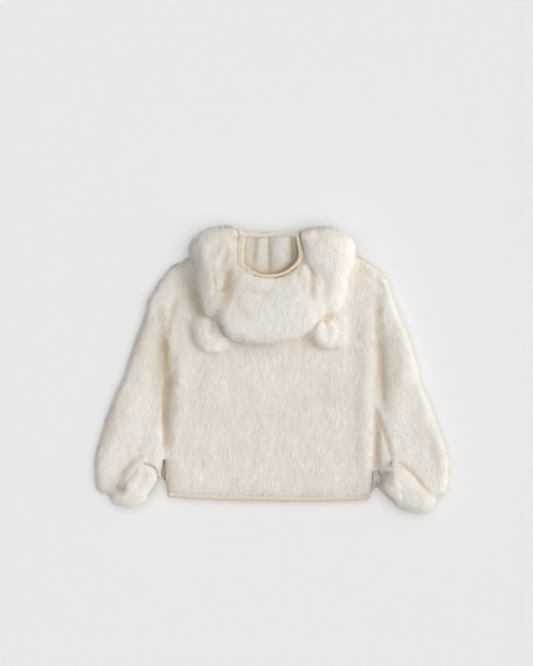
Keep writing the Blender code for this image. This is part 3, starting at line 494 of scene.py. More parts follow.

# %% [markdown]
# ## Creases
# The main creases are placed from the picture.  Each is a line on the jacket with a half
# width and a depth; a minus sign makes a ridge.  Their lengths, depths and spacing differ, as they
# do on the real jacket.  The valleys beside the body are creases too, along the sleeves' seams.

# %% Creases, mm
CREASES = {  # x0, y0, x1, y1, half width, depth
    "body": (
        (-133.0, 97.0, -143.0, 50.0, 5.0, 2.0),
        (-114.0, 120.0, -102.0, 78.0, 12.0, 4.6),
        (-154.0, 80.0, -151.0, 28.0, 8.0, 3.6),
        (-151.0, 34.0, -146.0, -20.0, 8.5, 6.0),
        (-146.0, -20.0, -149.5, -62.0, 7.0, 5.5),
        (-149.5, -62.0, -147.5, -108.0, 5.5, 4.5),
        (-153.0, 44.0, -148.0, -70.0, 13.0, 2.4),
        (-114.0, 62.0, -106.0, 34.0, 7.0, 3.0),
        (-104.0, 29.0, -80.0, 20.0, 6.0, 2.6),
        (52.0, 42.0, 66.0, 29.0, 6.0, 2.4),
        (72.0, 27.0, 92.0, 30.0, 6.0, 2.0),
        (-160.0, 40.0, -163.0, -70.0, 12.0, 2.4),
        (-222.0, -10.0, -243.0, -100.0, 13.0, 3.2),
        (-184.0, 70.0, -214.0, -10.0, 12.0, 2.4),
        (-188.0, -132.0, -208.0, -166.0, 7.0, -6.5),
        (156.0, 40.0, 158.0, -60.0, 7.0, 2.4),
        (150.4, 97.0, 151.4, 30.0, 5.0, 1.8),
        (151.4, 30.0, 156.7, -43.0, 5.0, 2.4),
        (148.0, -60.0, 148.0, -136.0, 5.0, 3.0),
        (160.0, 60.0, 166.0, -30.0, 12.0, 2.2),
        (232.0, -70.0, 244.0, -130.0, 12.0, 1.2),
        (136.0, 100.0, 138.0, -120.0, 9.0, -1.2),
        (118.0, 62.0, 116.0, -130.0, 9.0, 1.0),
        (-148.0, 104.0, -160.0, 44.0, 10.0, -1.6),
        (-96.0, 18.0, -108.0, -60.0, 14.0, 0.8),
        (24.0, -60.0, 10.0, -140.0, 18.0, 0.7),
        (-40.0, -20.0, -52.0, -110.0, 16.0, 0.7),
        (66.0, 20.0, 74.0, -52.0, 13.0, 0.6),
        (-211.0, -149.0, -202.0, -142.0, 3.0, 1.6),
        (-186.5, -110.0, -183.5, -126.0, 4.4, 1.4),
        (-178.0, 70.0, -190.0, 4.0, 8.0, 1.2),
        (-196.0, -20.0, -212.0, -70.0, 9.0, 1.2),
        (-222.0, -62.0, -231.0, -104.0, 6.0, 1.0),
        (-206.5, -170.0, -214.0, -168.0, 4.5, 4.5),
        (154.0, -75.0, 169.0, -124.0, 3.6, 3.0),
        (176.0, 52.0, 172.0, -30.0, 8.0, 1.0),
        (196.0, -30.0, 210.0, -96.0, 10.0, 0.9),
        (222.0, -96.0, 232.0, -132.0, 6.0, 0.9),
        (184.0, 20.0, 190.0, -40.0, 9.0, -0.9),
        (-190.0, -143.0, -196.0, -156.0, 4.4, 0.9),
        (-204.0, -163.0, -208.0, -170.0, 3.6, 3.0),
        (180.0, -131.0, 198.0, -146.0, 3.4, 2.2),
        (198.0, -146.0, 225.0, -178.0, 3.4, 2.6),
    ),
    "mitts": (
        (-176.0, -147.0, -188.0, -166.0, 3.4, 1.6),
        (-190.0, -152.0, -202.0, -166.0, 3.0, -1.0),
        (-196.0, -178.0, -206.0, -184.0, 3.0, 1.2),
        (180.0, -157.0, 181.5, -166.0, 2.6, 1.6),
        (183.0, -172.0, 184.0, -184.0, 2.4, 2.2),
        (190.0, -168.0, 191.0, -182.0, 2.4, 2.0),
        (171.0, -141.0, 177.0, -168.0, 3.2, -1.6),
        (200.0, -168.0, 208.0, -184.0, 3.6, 1.2),
    ),
    "hood": (
        (-59.0, 132.0, -64.0, 99.0, 5.5, 2.8),
        (-64.0, 99.0, -74.0, 80.0, 5.0, 2.0),
        (-50.0, 180.0, -63.0, 122.0, 12.0, 3.4),
        (41.5, 177.0, 46.0, 156.0, 3.0, 3.2),
        (46.0, 156.0, 56.0, 139.0, 3.0, 3.2),
        (56.0, 139.0, 60.0, 130.0, 3.2, 3.0),
        (60.0, 130.0, 57.0, 103.0, 5.0, 2.4),
        (-66.0, 178.0, -82.0, 152.0, 6.0, 1.6),
        (-60.0, 164.0, -71.0, 132.0, 5.5, 1.8),
        (-80.0, 140.0, -76.0, 106.0, 4.0, 1.4),
        (-122.0, 190.0, -103.0, 116.0, 17.0, 4.0),
        (-52.0, 120.0, -58.0, 86.0, 24.0, 5.0),
        (20.0, 114.0, 24.0, 84.0, 24.0, -3.0),
        (60.0, 120.0, 68.0, 84.0, 9.0, -5.0),
        (-68.0, 104.0, -78.0, 84.0, 8.0, -4.5),
        (-98.0, 170.0, -92.0, 138.0, 5.0, -1.0),
        (64.0, 190.0, 74.0, 168.0, 5.0, 1.0),
        (80.0, 130.0, 74.0, 98.0, 6.0, 1.0),
        (44.5, 153.0, 38.0, 131.0, 2.6, 2.8),
        (-36.0, 112.0, -6.0, 104.0, 6.0, 0.9),
        (-44.0, 84.0, -30.0, 66.0, 6.0, 1.0),
        (30.0, 118.0, 46.0, 92.0, 8.0, -0.8),
    ),
    "lining": (
        (-20.0, 186.0, -24.0, 150.0, 3.0, 1.6),
        (-3.0, 184.0, -2.0, 138.0, 2.6, 1.8),
        (16.0, 184.0, 14.0, 142.0, 3.0, -0.8),
        (28.0, 182.0, 30.0, 156.0, 2.6, 1.2),
    ),
    "ears": (
        (-80.5, 72.0, -84.5, 50.0, 3.0, 2.2),
        (72.5, 74.0, 75.0, 66.0, 2.6, 1.6),
    ),
}
print("creases:", sum(len(table) for table in CREASES.values()))

# %% [markdown]
# ## Shape of a crease
# Across its line a crease is a smooth valley.  Along it, it is a little shallower toward its ends,
# and it fades out past them.  The steeper a crease is, the less light reaches its bottom, so a
# second function says where shade is painted into the fur, warmer and darker.

# %% Shape of a crease
END_LENGTH = 1.5
END_RISE = 0.3
SHADE_WIDTH = 0.9
SHADE_STEEPNESS = 1.5


def crease_depth(points, table):
    """How far each point sinks, in metres, for a table of creases in millimetres."""
    sunk = np.zeros(len(points))
    plan = points[:, :2] / MM
    for x0, y0, x1, y1, half_width, depth in table:
        start = np.array([x0, y0])
        along = np.array([x1 - x0, y1 - y0])
        share = ((plan - start) @ along) / (along @ along)
        nearest = start + np.clip(share, 0, 1)[:, None] * along
        beyond = np.clip(np.abs(share - 0.5) - 0.5, 0, None) * np.linalg.norm(along)
        away = np.linalg.norm(plan - nearest, axis=1)
        taper = np.exp(-((beyond / (END_LENGTH * half_width)) ** 2))
        fade = 1 - END_RISE * np.clip(2 * np.abs(share - 0.5), 0, 1) ** 2
        sunk += depth * MM * np.exp(-((away / half_width) ** 2)) * taper * fade
    return sunk


def crease_shade(points, group):
    """How near each point is to the bottom of a steep crease, from 0 to 1: how much shade is painted
    there.
    """
    shade = np.zeros(len(points))
    for crease in CREASES[group]:
        half_width, depth = crease[4], crease[5]
        if depth > 0:
            narrower = (*crease[:4], SHADE_WIDTH * half_width, 1.0)
            steep = min(SHADE_STEEPNESS * depth / half_width, 1.0)
            shade += steep * crease_depth(points, [narrower]) / MM
    return np.clip(shade, 0, 1)


middle_of_first = np.array([[*np.mean([CREASES["body"][0][:2], CREASES["body"][0][2:4]], 0), 0]])
print("depth at the first crease, m:", crease_depth(middle_of_first * MM, CREASES["body"]).round(4))

# %% [markdown]
# ## Soft noise without a texture
# Fur never lies quite even.  A small table of seeded random numbers, read with smooth steps
# between its entries, gives a value that wanders over the cloth and is the same on each run.

# %% Wandering values
NOISE_SIDE = 64
SLANT = (0.37, 0.53)  # how height shifts the value, so that it wanders up a steep side too
NOISE_TABLE = np.random.default_rng(11).random((NOISE_SIDE, NOISE_SIDE))


def wander(points, scale, shift=0.0):
    """A value from -1 to 1 that changes smoothly over a distance of scale millimetres."""
    x, y, z = points.T
    plan = np.stack([x + SLANT[0] * z, y - SLANT[1] * z], 1) / MM / scale + shift
    cell = np.floor(plan).astype(int)
    part = plan - cell
    part = part * part * (3 - 2 * part)
    x0, y0 = cell[:, 0] % NOISE_SIDE, cell[:, 1] % NOISE_SIDE
    x1, y1 = (x0 + 1) % NOISE_SIDE, (y0 + 1) % NOISE_SIDE
    low = NOISE_TABLE[x0, y0] * (1 - part[:, 0]) + NOISE_TABLE[x1, y0] * part[:, 0]
    high = NOISE_TABLE[x0, y1] * (1 - part[:, 0]) + NOISE_TABLE[x1, y1] * part[:, 0]
    return 2 * (low * (1 - part[:, 1]) + high * part[:, 1]) - 1


def waves(points, *kinds):
    """Waves of several kinds together, each given by its height, scale and shift."""
    return sum(height * wander(points, scale, shift) for height, scale, shift in kinds)


print("noise table:", NOISE_TABLE.shape)

# %% [markdown]
# ## Groups of panels
# Where two panels are sewn, their fur meets and hides the seam, so fur doesn't follow each panel
# into the groove between them.  The panels of a group are joined, swollen until the grooves close
# and shrunk back by as much.  What is left is the face that the tips of the fur reach.

# %% Groups of panels
BODY_PANELS = ("back", "front_left", "front_right", "sleeve_left", "sleeve_right")
MITTS = ("mitt_left", "mitt_right")
HEMS = ("hem_binding_back", "hem_binding_front_left", "hem_binding_front_right")
HOOD = ("hood_centre", "hood_side_left", "hood_side_right", "hood_binding")
EARS = ("ear_left", "ear_right", "ear_face_left", "ear_face_right")
GROUPS = {  # the solids, voxel and reach of the swelling in mm, rounds of smoothing
    "body": (BODY_PANELS + MITTS + HEMS, 3.2, 5.0, 4),
    "hood": (HOOD, 2.8, 11.0, 3),
    "lining": (("hood_lining",), 2.2, 0.0, 4),
    "ears": (EARS, 1.4, 6.0, 3),
}


def joined(nodes):
    """One mesh of the points and triangles of several solids."""
    points, triangles, first = [], [], 0
    for node in nodes:
        node_points, node_triangles, _ = arrays_of(frame["nodes"][node].data)
        points.append(node_points)
        triangles.append(node_triangles + first)
        first += len(node_points)
    return mesh_from("joined", np.concatenate(points), np.concatenate(triangles))


def without_hollows(mesh):
    """Drops the skins of closed hollows.  Their triangles face inward, so their volume is negative."""
    points, triangles, _ = arrays_of(mesh)
    label = np.arange(len(points))
    while True:
        lowest = label[triangles].min(1)
        before = label.copy()
        for corner in range(3):
            np.minimum.at(label, triangles[:, corner], lowest)
        label = label[label]
        if (label == before).all():
            break
    corner = points[triangles]
    volume = (corner[:, 0] * np.cross(corner[:, 1], corner[:, 2])).sum(1)
    total = np.bincount(label[triangles[:, 0]], volume, len(points))
    kept = triangles[total[label[triangles[:, 0]]] > 0]
    return mesh_from("outer", points, kept)


print("solids in groups:", sum(len(nodes) for nodes, *_ in GROUPS.values()))

# %% [markdown]
# ## Creases and swells in the face
# The creases are pressed into the upper side of a face, and three sizes of waves keep the cloth from
# lying too flat.  Under the hood the back's fur is squeezed, and it wells up along the hood's edge.

# %% Creases and swells in the face
FLOOR_GAP = 0.3
SLEEVE_START = 152.0
SLEEVES_LOOSER = 0.7
UNEVEN = ((1.1, 48.0, 5.3), (0.8, 24.0, 3.1), (0.4, 11.0, 9.7))  # height and scale, mm, and shift
RIM_WAVE = (0.9, 17.0, 1.7)
UPPER_SIDE = (1.5, 0.5)  # slope and start of the share of a crease that a side gets
UNDER_HOOD = ("hood_side_left", "hood_side_right", "hood_centre", "ear_left", "ear_right")
BULGE = {"rise": 9.0, "width": 16.0, "beyond_y": 30.0, "facing_up": 0.3, "steepness": 1.5}


def press(points, normals, group):
    """Moves points into a group's creases, and gives the cloth a slight unevenness."""
    uneven = waves(points, *UNEVEN)
    uneven *= 1 + SLEEVES_LOOSER * (np.abs(points[:, 0]) > SLEEVE_START * MM)
    uneven += waves(points, RIM_WAVE) * (1 - np.abs(normals[:, 2]))
    sunk = crease_depth(points, CREASES[group])
    if group == "body":
        sunk = sunk + crease_depth(points, CREASES["mitts"])
    sunk = sunk * np.clip(normals[:, 2] * UPPER_SIDE[0] + UPPER_SIDE[1], 0, 1)
    pressed = points + normals * (uneven * MM - sunk)[:, None]
    pressed[:, 2] = np.maximum(pressed[:, 2], FLOOR_GAP * MM)
    return pressed


def bulge(points, normals):
    """How far the back's fur is pushed up where it is squeezed out from under the hood."""
    hood_points, hood_triangles, _ = arrays_of(joined(UNDER_HOOD))
    tree = BVHTree.FromPolygons(hood_points.tolist(), hood_triangles.tolist())
    away = np.full(len(points), np.inf)
    near = (normals[:, 2] > BULGE["facing_up"]) & (points[:, 1] > BULGE["beyond_y"] * MM)
    for index in np.flatnonzero(near):
        away[index] = tree.find_nearest(points[index])[3] / MM
    share = np.clip(1 - away / BULGE["width"], 0, 1)
    return BULGE["rise"] * MM * share ** BULGE["steepness"]


print("the fur wells up by", BULGE["rise"], "mm along the hood")

# %% [markdown]
# ## The outer face of the fur
# The steps come together: join, swell, close, drop hollows, shrink, smooth and press.

# %% Wrap the groups
def wrap(group):
    """The outer face of a group's fur: points, triangles and point normals."""
    nodes, voxel, reach, rounds = GROUPS[group]
    swollen = evaluated_mesh(joined(nodes), [remesh(voxel), swell(reach), remesh(voxel)])
    steps = [swell(-reach), smooth(rounds)]
    points, triangles, normals = arrays_of(evaluated_mesh(without_hollows(swollen), steps))
    used = np.unique(triangles)
    renumbered = np.zeros(len(points), int)
    renumbered[used] = np.arange(len(used))
    points, normals, triangles = points[used], normals[used], renumbered[triangles]
    pressed = press(points, normals, group)
    if group == "body":
        pressed[:, 2] += bulge(pressed, normals)
    return arrays_of(mesh_from(group + "_face", pressed, triangles))


faces = {group: wrap(group) for group in GROUPS}
for group, (points, triangles, normals) in faces.items():
    print("face of the", group, "triangles:", len(triangles))

# %% [markdown]
# ## Which panel owns each triangle
# Each triangle of a face belongs to the panel that lies nearest, except that a front, which lies
# underneath, never owns one that faces up.

# %% Owners of the triangles
FACES_UP = 0.2


def owners(face, nodes):
    """For each triangle of a face, the number of the nearest solid and how far off it is, in mm."""
    points, triangles, normals = face
    middles = points[triangles].mean(1)
    faces_up = normals[triangles].mean(1)[:, 2] > FACES_UP
    distance = np.empty((len(nodes), len(middles)))
    for row, node in enumerate(nodes):
        node_points, node_triangles, _ = arrays_of(frame["nodes"][node].data)
        tree = BVHTree.FromPolygons(node_points.tolist(), node_triangles.tolist())
        distance[row] = [tree.find_nearest(middle)[3] for middle in middles.tolist()]
        if "front" in node:
            distance[row][faces_up] = np.inf
    return distance.argmin(0), distance.min(0) / MM


owned = {group: owners(faces[group], GROUPS[group][0]) for group in GROUPS}
trees = {
    group: BVHTree.FromPolygons(points.tolist(), triangles.tolist())
    for group, (points, triangles, normals) in faces.items()
}
backs = int((owned["body"][0] == GROUPS["body"][0].index("back")).sum())
print("triangles of the face that the back owns:", backs)

# %% [markdown]
# ## How hidden each place is
# Light that reaches the bottom of a fold has bounced from cream fibre to cream fibre many times, and
# each bounce takes out a little more blue.  Blades this coarse don't bounce light as real fibres do,
# so that warm shade is painted into the fur's colour, and its amount is worked out here: from every
# point of a face, rays go out over the open side, and the share of them that soon meets the jacket
# again says how hidden the point is.  Smoothing the share over the face takes out the grain that so
# few rays leave.

# %% Share of the sky that the jacket hides
LOOK = 58.0
RAYS = 14
RAY_SPREAD = 0.96
RAY_START = 1.2
NEARER_HIDES_MORE = 0.6
SPREAD_ROUNDS = 3
rays = unit(np.random.default_rng(3).normal(0, 1, (RAYS, 3)))
every_point = []
every_triangle = []
first = 0
for points, triangles, _ in faces.values():
    every_point += points.tolist()
    every_triangle += (triangles + first).tolist()
    first += len(points)
everything = BVHTree.FromPolygons(every_point, every_triangle)


def hidden_share(face):
    """From 0 in the open to 1 in the deepest fold, for each point of a face."""
    points, triangles, normals = face
    share = np.zeros(len(points))
    starts = (points + normals * RAY_START * MM).tolist()
    for ray in rays:
        way = unit(normals + RAY_SPREAD * ray).tolist()
        for index, (start, direction) in enumerate(zip(starts, way)):
            reached = everything.ray_cast(start, direction, LOOK * MM)[3]
            if reached is not None:
                share[index] += 1 - NEARER_HIDES_MORE * reached / (LOOK * MM)
    share /= len(rays)
    for _ in range(SPREAD_ROUNDS):
        spread = np.zeros(len(points))
        met = np.zeros(len(points))
        for corner in range(3):
            np.add.at(spread, triangles[:, corner], share[triangles].mean(1))
            np.add.at(met, triangles[:, corner], 1)
        share = spread / np.maximum(met, 1)
    return share


hidden = {group: hidden_share(face) for group, face in faces.items()}
for group, share in hidden.items():
    print("hidden share of the", group, "middle:", round(float(np.median(share)), 2))

# %% [markdown]
# ## One lock of the pile
# Each lock is a narrow blade of three triangles: broad at its root, bent over in the middle and
# pointed.  Its tip lies on the fur's outer face and its root lies in the backing.  Hair would be
# finer still, but blades this wide already close up into fur and keep the model light.  Two
# numbers on each point say how far it is along its lock and across it, for the finish to read.

# %% One lock
LOCK_POINTS = 5
LOCK_TRIANGLES = np.array([(0, 1, 3), (0, 3, 2), (2, 3, 4)])
LOCK_MAP = np.array([(0.2, 0.1), (0.8, 0.1), (0.2, 0.5), (0.8, 0.5), (0.5, 0.9)])
ALONG_LOCK = [0.0, 0.0, 0.6, 0.6, 1.0]
ACROSS_LOCK = [-1.0, 1.0, -1.0, 1.0, 0.0]
print("triangles a lock:", len(LOCK_TRIANGLES))

# %% [markdown]
# ## Clumps and tufts
# Neighbouring locks of plush cling together in long thin clumps, and the clumps in wider tufts.
# That is what makes plush look like plush.  The cloth is divided into long cells along the nap,
# with wavy sides, and every lock in a cell gets the same few random numbers.

# %% Clumps
CLUMP = (2.0, 8.0, 6.0)  # size across the nap, along it and upward, mm
TUFT = (8.0, 26.0, 16.0)
WAVY_ACROSS = (1.3, 8.0)  # depth of a cell's waves, in widths of a cell, and their scale, mm
WAVY_ALONG = (1.1, 13.0)
CELL_MIDDLE = (0.3, 0.4)
CELL_NUMBERS = 4096
SCATTER = (73856093, 19349663, 83492791, 7919)


def cells(points, across, along, size, seed):
    """The clump of each point: four random numbers, and how far its middle lies across the nap."""
    plan = points / MM
    u = plan @ across + WAVY_ACROSS[0] * wander(points, WAVY_ACROSS[1], seed) * size[0]
    v = plan @ along + WAVY_ALONG[0] * wander(points, WAVY_ALONG[1], seed + 0.5) * size[0]
    cell = np.floor(np.stack([u / size[0], v / size[1], plan[:, 2] / size[2]], 1)).astype(np.int64)
    shifted = np.floor(v / size[1] + 0.5 * (cell[:, 0] % 2)).astype(np.int64)
    mixed = cell[:, 0] * SCATTER[0] + shifted * SCATTER[1] + cell[:, 2] * SCATTER[2] + SCATTER[3] * seed
    numbers = np.random.default_rng(seed).random((CELL_NUMBERS, 4))[mixed % CELL_NUMBERS]
    middle = (cell[:, 0] + CELL_MIDDLE[0] + CELL_MIDDLE[1] * numbers[:, 3]) * size[0]
    return numbers, middle - u


print("clump, mm:", CLUMP, "tuft, mm:", TUFT)

# %% [markdown]
# ## Where the locks stand
# Places are drawn at random over a panel's share of the fur's face, and more of them over the
# groove of a seam, where no backing lies close below.  None are drawn deep inside a fold, nor
# where the floor shows between the body and a turned-back cuff.

# %% Places of the locks
CUFF_TOPS = (-127.0, -141.0)  # where the two gaps start, on the left and on the right, mm
CUFF_GAP = {"at": 152.0, "half": 24.0}
WEB = 1.5
COVERED = 0.8
GROOVE = {"from": 0.8, "over": 2.0, "thicker": 2.0}


def below_cuffs(points):
    """Where the floor shows between the body and a cuff."""
    top = np.where(points[:, 0] < 0, *CUFF_TOPS)
    beside = np.abs(np.abs(points[:, 0]) / MM - CUFF_GAP["at"]) < CUFF_GAP["half"]
    return (points[:, 1] < top * MM) & beside


def draw_places(panel, number, rng):
    """Places, face normals and hidden shares, drawn where the pile covers a face."""
    points, triangles, normals = faces[panel.group]
    owner, distance = owned[panel.group]
    depth = (distance[owner == number] - GROOVE["from"]) / GROOVE["over"]
    thicker = 1 + GROOVE["thicker"] * np.clip(depth, 0, 1)
    triangles = triangles[owner == number]
    if panel.group == "body":
        thicker *= ~below_cuffs(points[triangles].mean(1)) | (distance[owner == number] < WEB)
        thicker *= hidden[panel.group][triangles].mean(1) < COVERED
    corner = points[triangles]
    area = np.linalg.norm(np.cross(corner[:, 1] - corner[:, 0], corner[:, 2] - corner[:, 0]), axis=1)
    weight = area * thicker * panel.shown(corner.mean(1), unit(normals[triangles].mean(1)))
    chosen = rng.choice(len(triangles), panel.locks, p=weight / weight.sum())
    first = np.sqrt(rng.random(panel.locks))[:, None]
    second = rng.random(panel.locks)[:, None]
    shares = np.stack([1 - first, first * (1 - second), first * second], 1)
    place = (corner[chosen] * shares).sum(1)
    shade = (hidden[panel.group][triangles[chosen]] * shares[:, :, 0]).sum(1)
    return place, unit((normals[triangles[chosen]] * shares).sum(1)), shade


print("gaps beside the cuffs start at y", CUFF_TOPS)

# %% [markdown]
# ## Bridges
# Over a groove the fur's face spans from panel to panel with nothing under it.  Its triangles there
# are kept, a little below the tips, so that no dark slit shows between the locks.  A bridge stops
# where the floor has to show.

# %% Bridges over grooves
BRIDGE = 0.7
FILLER_DEPTH = 1.5


def fillers(panel, number):
    """The triangles of a face that bridge a groove: corners, normals and hidden shares."""
    points, triangles, normals = faces[panel.group]
    owner, distance = owned[panel.group]
    kept = (owner == number) & (distance > BRIDGE)
    kept &= (distance < WEB) | ~below_cuffs(points[triangles].mean(1)) | (panel.group != "body")
    kept &= panel.shown(points[triangles].mean(1), unit(normals[triangles].mean(1))) > 0.5
    chosen = triangles[kept]
    lowered = points[chosen] - FILLER_DEPTH * MM * normals[chosen]
    return lowered, normals[chosen], hidden[panel.group][chosen]


print("bridges start", BRIDGE, "mm off a panel")

# %% [markdown]
# ## Keeping the mouth clear
# Fur from the hood's middle panel would lie over the tape that frames the mouth.  The tape's outer
# edge is nearly a rounded square, pushed in a little on the left where the panels lap, so one
# formula tells which places lie inside it.  Locks that would root there are made shorter.

# %% The mouth's outline
MOUTH_MIDDLE = np.array([-1.0, 175.0])
MOUTH = {"left": 46.5, "right": 43.2, "down": 47.4, "square": 2.6}
LAP = {"at": -32.0, "half": 14.0, "below": -20.0, "share": 0.10}


def in_mouth(points):
    """Whether points lie inside the outer edge of the mouth's tape, seen from above."""
    x, y = (points[:, :2] / MM - MOUTH_MIDDLE).T
    across = np.where(x < 0, MOUTH["left"], MOUTH["right"])
    lapped = 1 - LAP["share"] * np.exp(-(((x - LAP["at"]) / LAP["half"]) ** 2)) * (y < LAP["below"])
    sideways = np.abs(x / (across * lapped)) ** MOUTH["square"]
    down = np.abs(np.minimum(y, 0) / (MOUTH["down"] * lapped)) ** MOUTH["square"]
    return sideways + down < 1


def keep_off_tape(place, back):
    """Shortens the locks that would root inside the mouth's outline, and tells which they are."""
    short = np.zeros(len(place), bool)
    for share in (0.8, 0.6, 0.4, 0.2):
        over_tape = in_mouth(place - back)
        back[over_tape] *= share
        short |= over_tape
    return short


print("mouth, mm:", MOUTH)

# %% [markdown]
# ## Which way a lock lies
# A lock follows the nap, turned a little: by a slow wave over the cloth, by its tuft, by its clump
# and by itself.  It is then laid flat on the face.  Where the nap runs straight into a rim, locks
# rise and fan out, because there they would otherwise all point at one place.

# %% Lay the locks down
TURN = {"wave": 0.22, "sweep": 0.25, "lock": 0.10, "clump": 0.30, "tuft": 0.35}
RIM_RISE = 0.35
RIM_FAN = 0.9
RIM_STARTS = 0.2
UPWARD = np.array([0.0, 0.0, 1.0])


def lay_down(nap, place, normal, across, clump, tuft, rng):
    """The direction of each lock on the face, and how squarely the nap leaves the face there."""
    count = len(place)
    turn = TURN["wave"] * wander(place, 11.0) + TURN["sweep"] * wander(place, 37.0, 7.3)
    turn = turn + rng.normal(0, TURN["lock"], count)
    turn += TURN["clump"] * (clump[:, 0] - 0.5) + TURN["tuft"] * (tuft[:, 0] - 0.5)
    x, y, z = nap.T
    comb = np.stack([x * np.cos(turn) - y * np.sin(turn), x * np.sin(turn) + y * np.cos(turn), z], 1)
    meets = (comb * normal).sum(1, keepdims=True)
    upright = UPWARD - normal * normal[:, 2:]
    comb = comb - meets * normal - RIM_RISE * meets * upright
    comb += across * (rng.normal(0, RIM_FAN, count)[:, None] * np.clip(-meets - RIM_STARTS, 0, 1))
    return unit(comb - normal * (comb * normal).sum(1, keepdims=True)), meets[:, 0]


print("turn, radians:", TURN)

# %% [markdown]
# ## How far a tip reaches
# Most tips end a little under the face.  One lock in ten is a stray that stands out, and round the
# jacket's rims half of them are fine hairs that stick out by a few millimetres, which blurs the
# outline as real plush does.  Beside the cuffs the fur is kept short, to leave the gap open.

# %% Reach of the tips, mm
STRAY_SHARE = 0.10
STRAY = (0.8, 1.1)  # mean and spread
USUAL = (-0.3, 0.3)
CLUMP_REACH = 0.5
TUFT_REACH = 0.2
HIGH_CLUMPS = 0.6
RIM = (1.2, 1.3)  # start and slope of the share of hairs, by how flat the face lies
HAIR_SHARE = 0.5
HAIR_LENGTH = (0.15, 1.0)  # shares of the panel's own fuzz
TIGHT = {"most": -0.2, "less": 0.9}


def reach_of_tips(panel, place, normal, clump, tuft, rng):
    """How far each tip stands past the face, and which locks are strays, rim hairs and kept short."""
    count = len(place)
    stray = rng.random(count) < STRAY_SHARE
    reach = rng.normal(*USUAL, count) + CLUMP_REACH * (clump[:, 1] - HIGH_CLUMPS)
    reach += TUFT_REACH * (tuft[:, 1] - HIGH_CLUMPS)
    reach = np.where(stray, np.abs(rng.normal(*STRAY, count)), reach)
    rim = np.clip(RIM[0] - np.abs(normal[:, 2]) * RIM[1], 0, 1)
    hair = rng.random(count) < HAIR_SHARE * rim
    reach = np.where(hair, panel.fuzz * rng.uniform(*HAIR_LENGTH, count), reach)
    tight = below_cuffs(place) & (panel.group == "body")
    reach = np.where(tight, np.minimum(reach, TIGHT["most"]) - TIGHT["less"], reach)
    return reach, stray | hair, hair, tight


print("hairs at a rim:", HAIR_SHARE, "of the locks")

# %% [markdown]
# ## The blades
# From its tip a lock runs back along the nap.  Its root and its bend are dropped onto the face and
# pushed into the cloth, so that locks follow every crease.  The blade is turned to face outward, and
# rolled a little.

# %% Build the blades
BEND_AT = 0.42
BEND_SINK = 0.3
BEND_FOLLOWS_TIP = 0.5
FACE_UP = 0.35
ROLL = 0.22
THIN = 0.45
ROOT_WIDTH = 0.8
OFF_FLOOR = 0.1


def nearest(tree, points):
    """The nearest places of a face, and its normals there."""
    found = [tree.find_nearest(point)[:2] for point in points.tolist()]
    return np.array([place for place, _ in found]), np.array([normal for _, normal in found])


def build_blades(panel, place, normal, comb, tip, reach, size, thin, rng):
    """The five points of every lock, and the direction that each blade faces."""
    tree = trees[panel.group]
    back = comb * (panel.length * MM * size)[:, None]
    if panel.frames_mouth:
        thin = thin | keep_off_tape(place, back)
    root, root_normal = nearest(tree, place - back)
    root -= root_normal * (panel.depth * MM * size)[:, None]
    bend, bend_normal = nearest(tree, place - BEND_AT * back)
    sink = BEND_SINK * panel.depth * size - BEND_FOLLOWS_TIP * reach
    bend -= bend_normal * (sink * MM)[:, None]
    axis = unit(tip - root)
    facing = unit(normal + FACE_UP * UPWARD * np.sign(normal[:, 2:] + 0.2))
    side = unit(np.cross(axis, facing))
    roll = rng.normal(0, ROLL, len(place))[:, None]
    side = side * np.cos(roll) + np.cross(axis, side) * np.sin(roll)
    blade = np.cross(side, axis)
    flip = np.where((blade * facing).sum(1) < 0, -1.0, 1.0)[:, None]
    side, blade = side * flip, blade * flip
    half = side * (0.5 * panel.width * MM * size * np.where(thin, THIN, 1.0))[:, None]
    foot = ROOT_WIDTH * half
    points = np.stack([root - foot, root + foot, bend - half, bend + half, tip], 1)
    points[:, :, 2] = np.maximum(points[:, :, 2], OFF_FLOOR * MM)
    return points, blade


print("a lock bends", BEND_AT, "of its length from the tip")

# %% [markdown]
# ## How a lock is shaded
# Real fur is far finer than these blades and spreads light softly, so a blade is shaded mostly with
# the face's own normal, leaned a little with its clump.  All of it leans toward the sky, because
# light also sinks into fur from above.  Shade is painted into a fold's colour by how hidden it is
# and how steep.

# %% Normals, tints and map
SKYWARD = 0.8
FACE_SHARE = 0.65
BLADE_SHARE = 0.25
LEAN = {"aside": 0.20, "along": 0.16, "lock": 0.08}
CREASE_PAINTED_SHADE_TINT = 0.45
CREASE_PAINTED_DARKENING = 0.17
HAIR_PAINTED_SHADE_SHARE = 0.3
FILLER_TINT = 0.3


def toward_sky(normal):
    """How far a normal leans up; one that faces down leans the other way."""
    return SKYWARD * np.clip(3 * normal[:, 2] + 1, -1, 1)


def soft_normals(normal, blade, across, comb, clump, rng):
    """The normals that the locks are shaded with."""
    count = len(normal)
    lean = LEAN["aside"] * (clump[:, 0] - 0.5) + rng.normal(0, LEAN["lock"], count)
    lift = LEAN["along"] * (clump[:, 1] - 0.5) + rng.normal(0, LEAN["lock"], count)
    soft = FACE_SHARE * normal + BLADE_SHARE * blade
    soft[:, 2] += toward_sky(normal)
    return unit(soft + across * lean[:, None] + comb * lift[:, None])


def add_layers(mesh, layers):
    """Numbers on the points of a mesh, each given for the locks and then for the bridges."""
    for label, values in layers.items():
        layer = mesh.attributes.new(label, "FLOAT", "POINT")
        layer.data.foreach_set("value", np.concatenate(values).astype(np.float32))


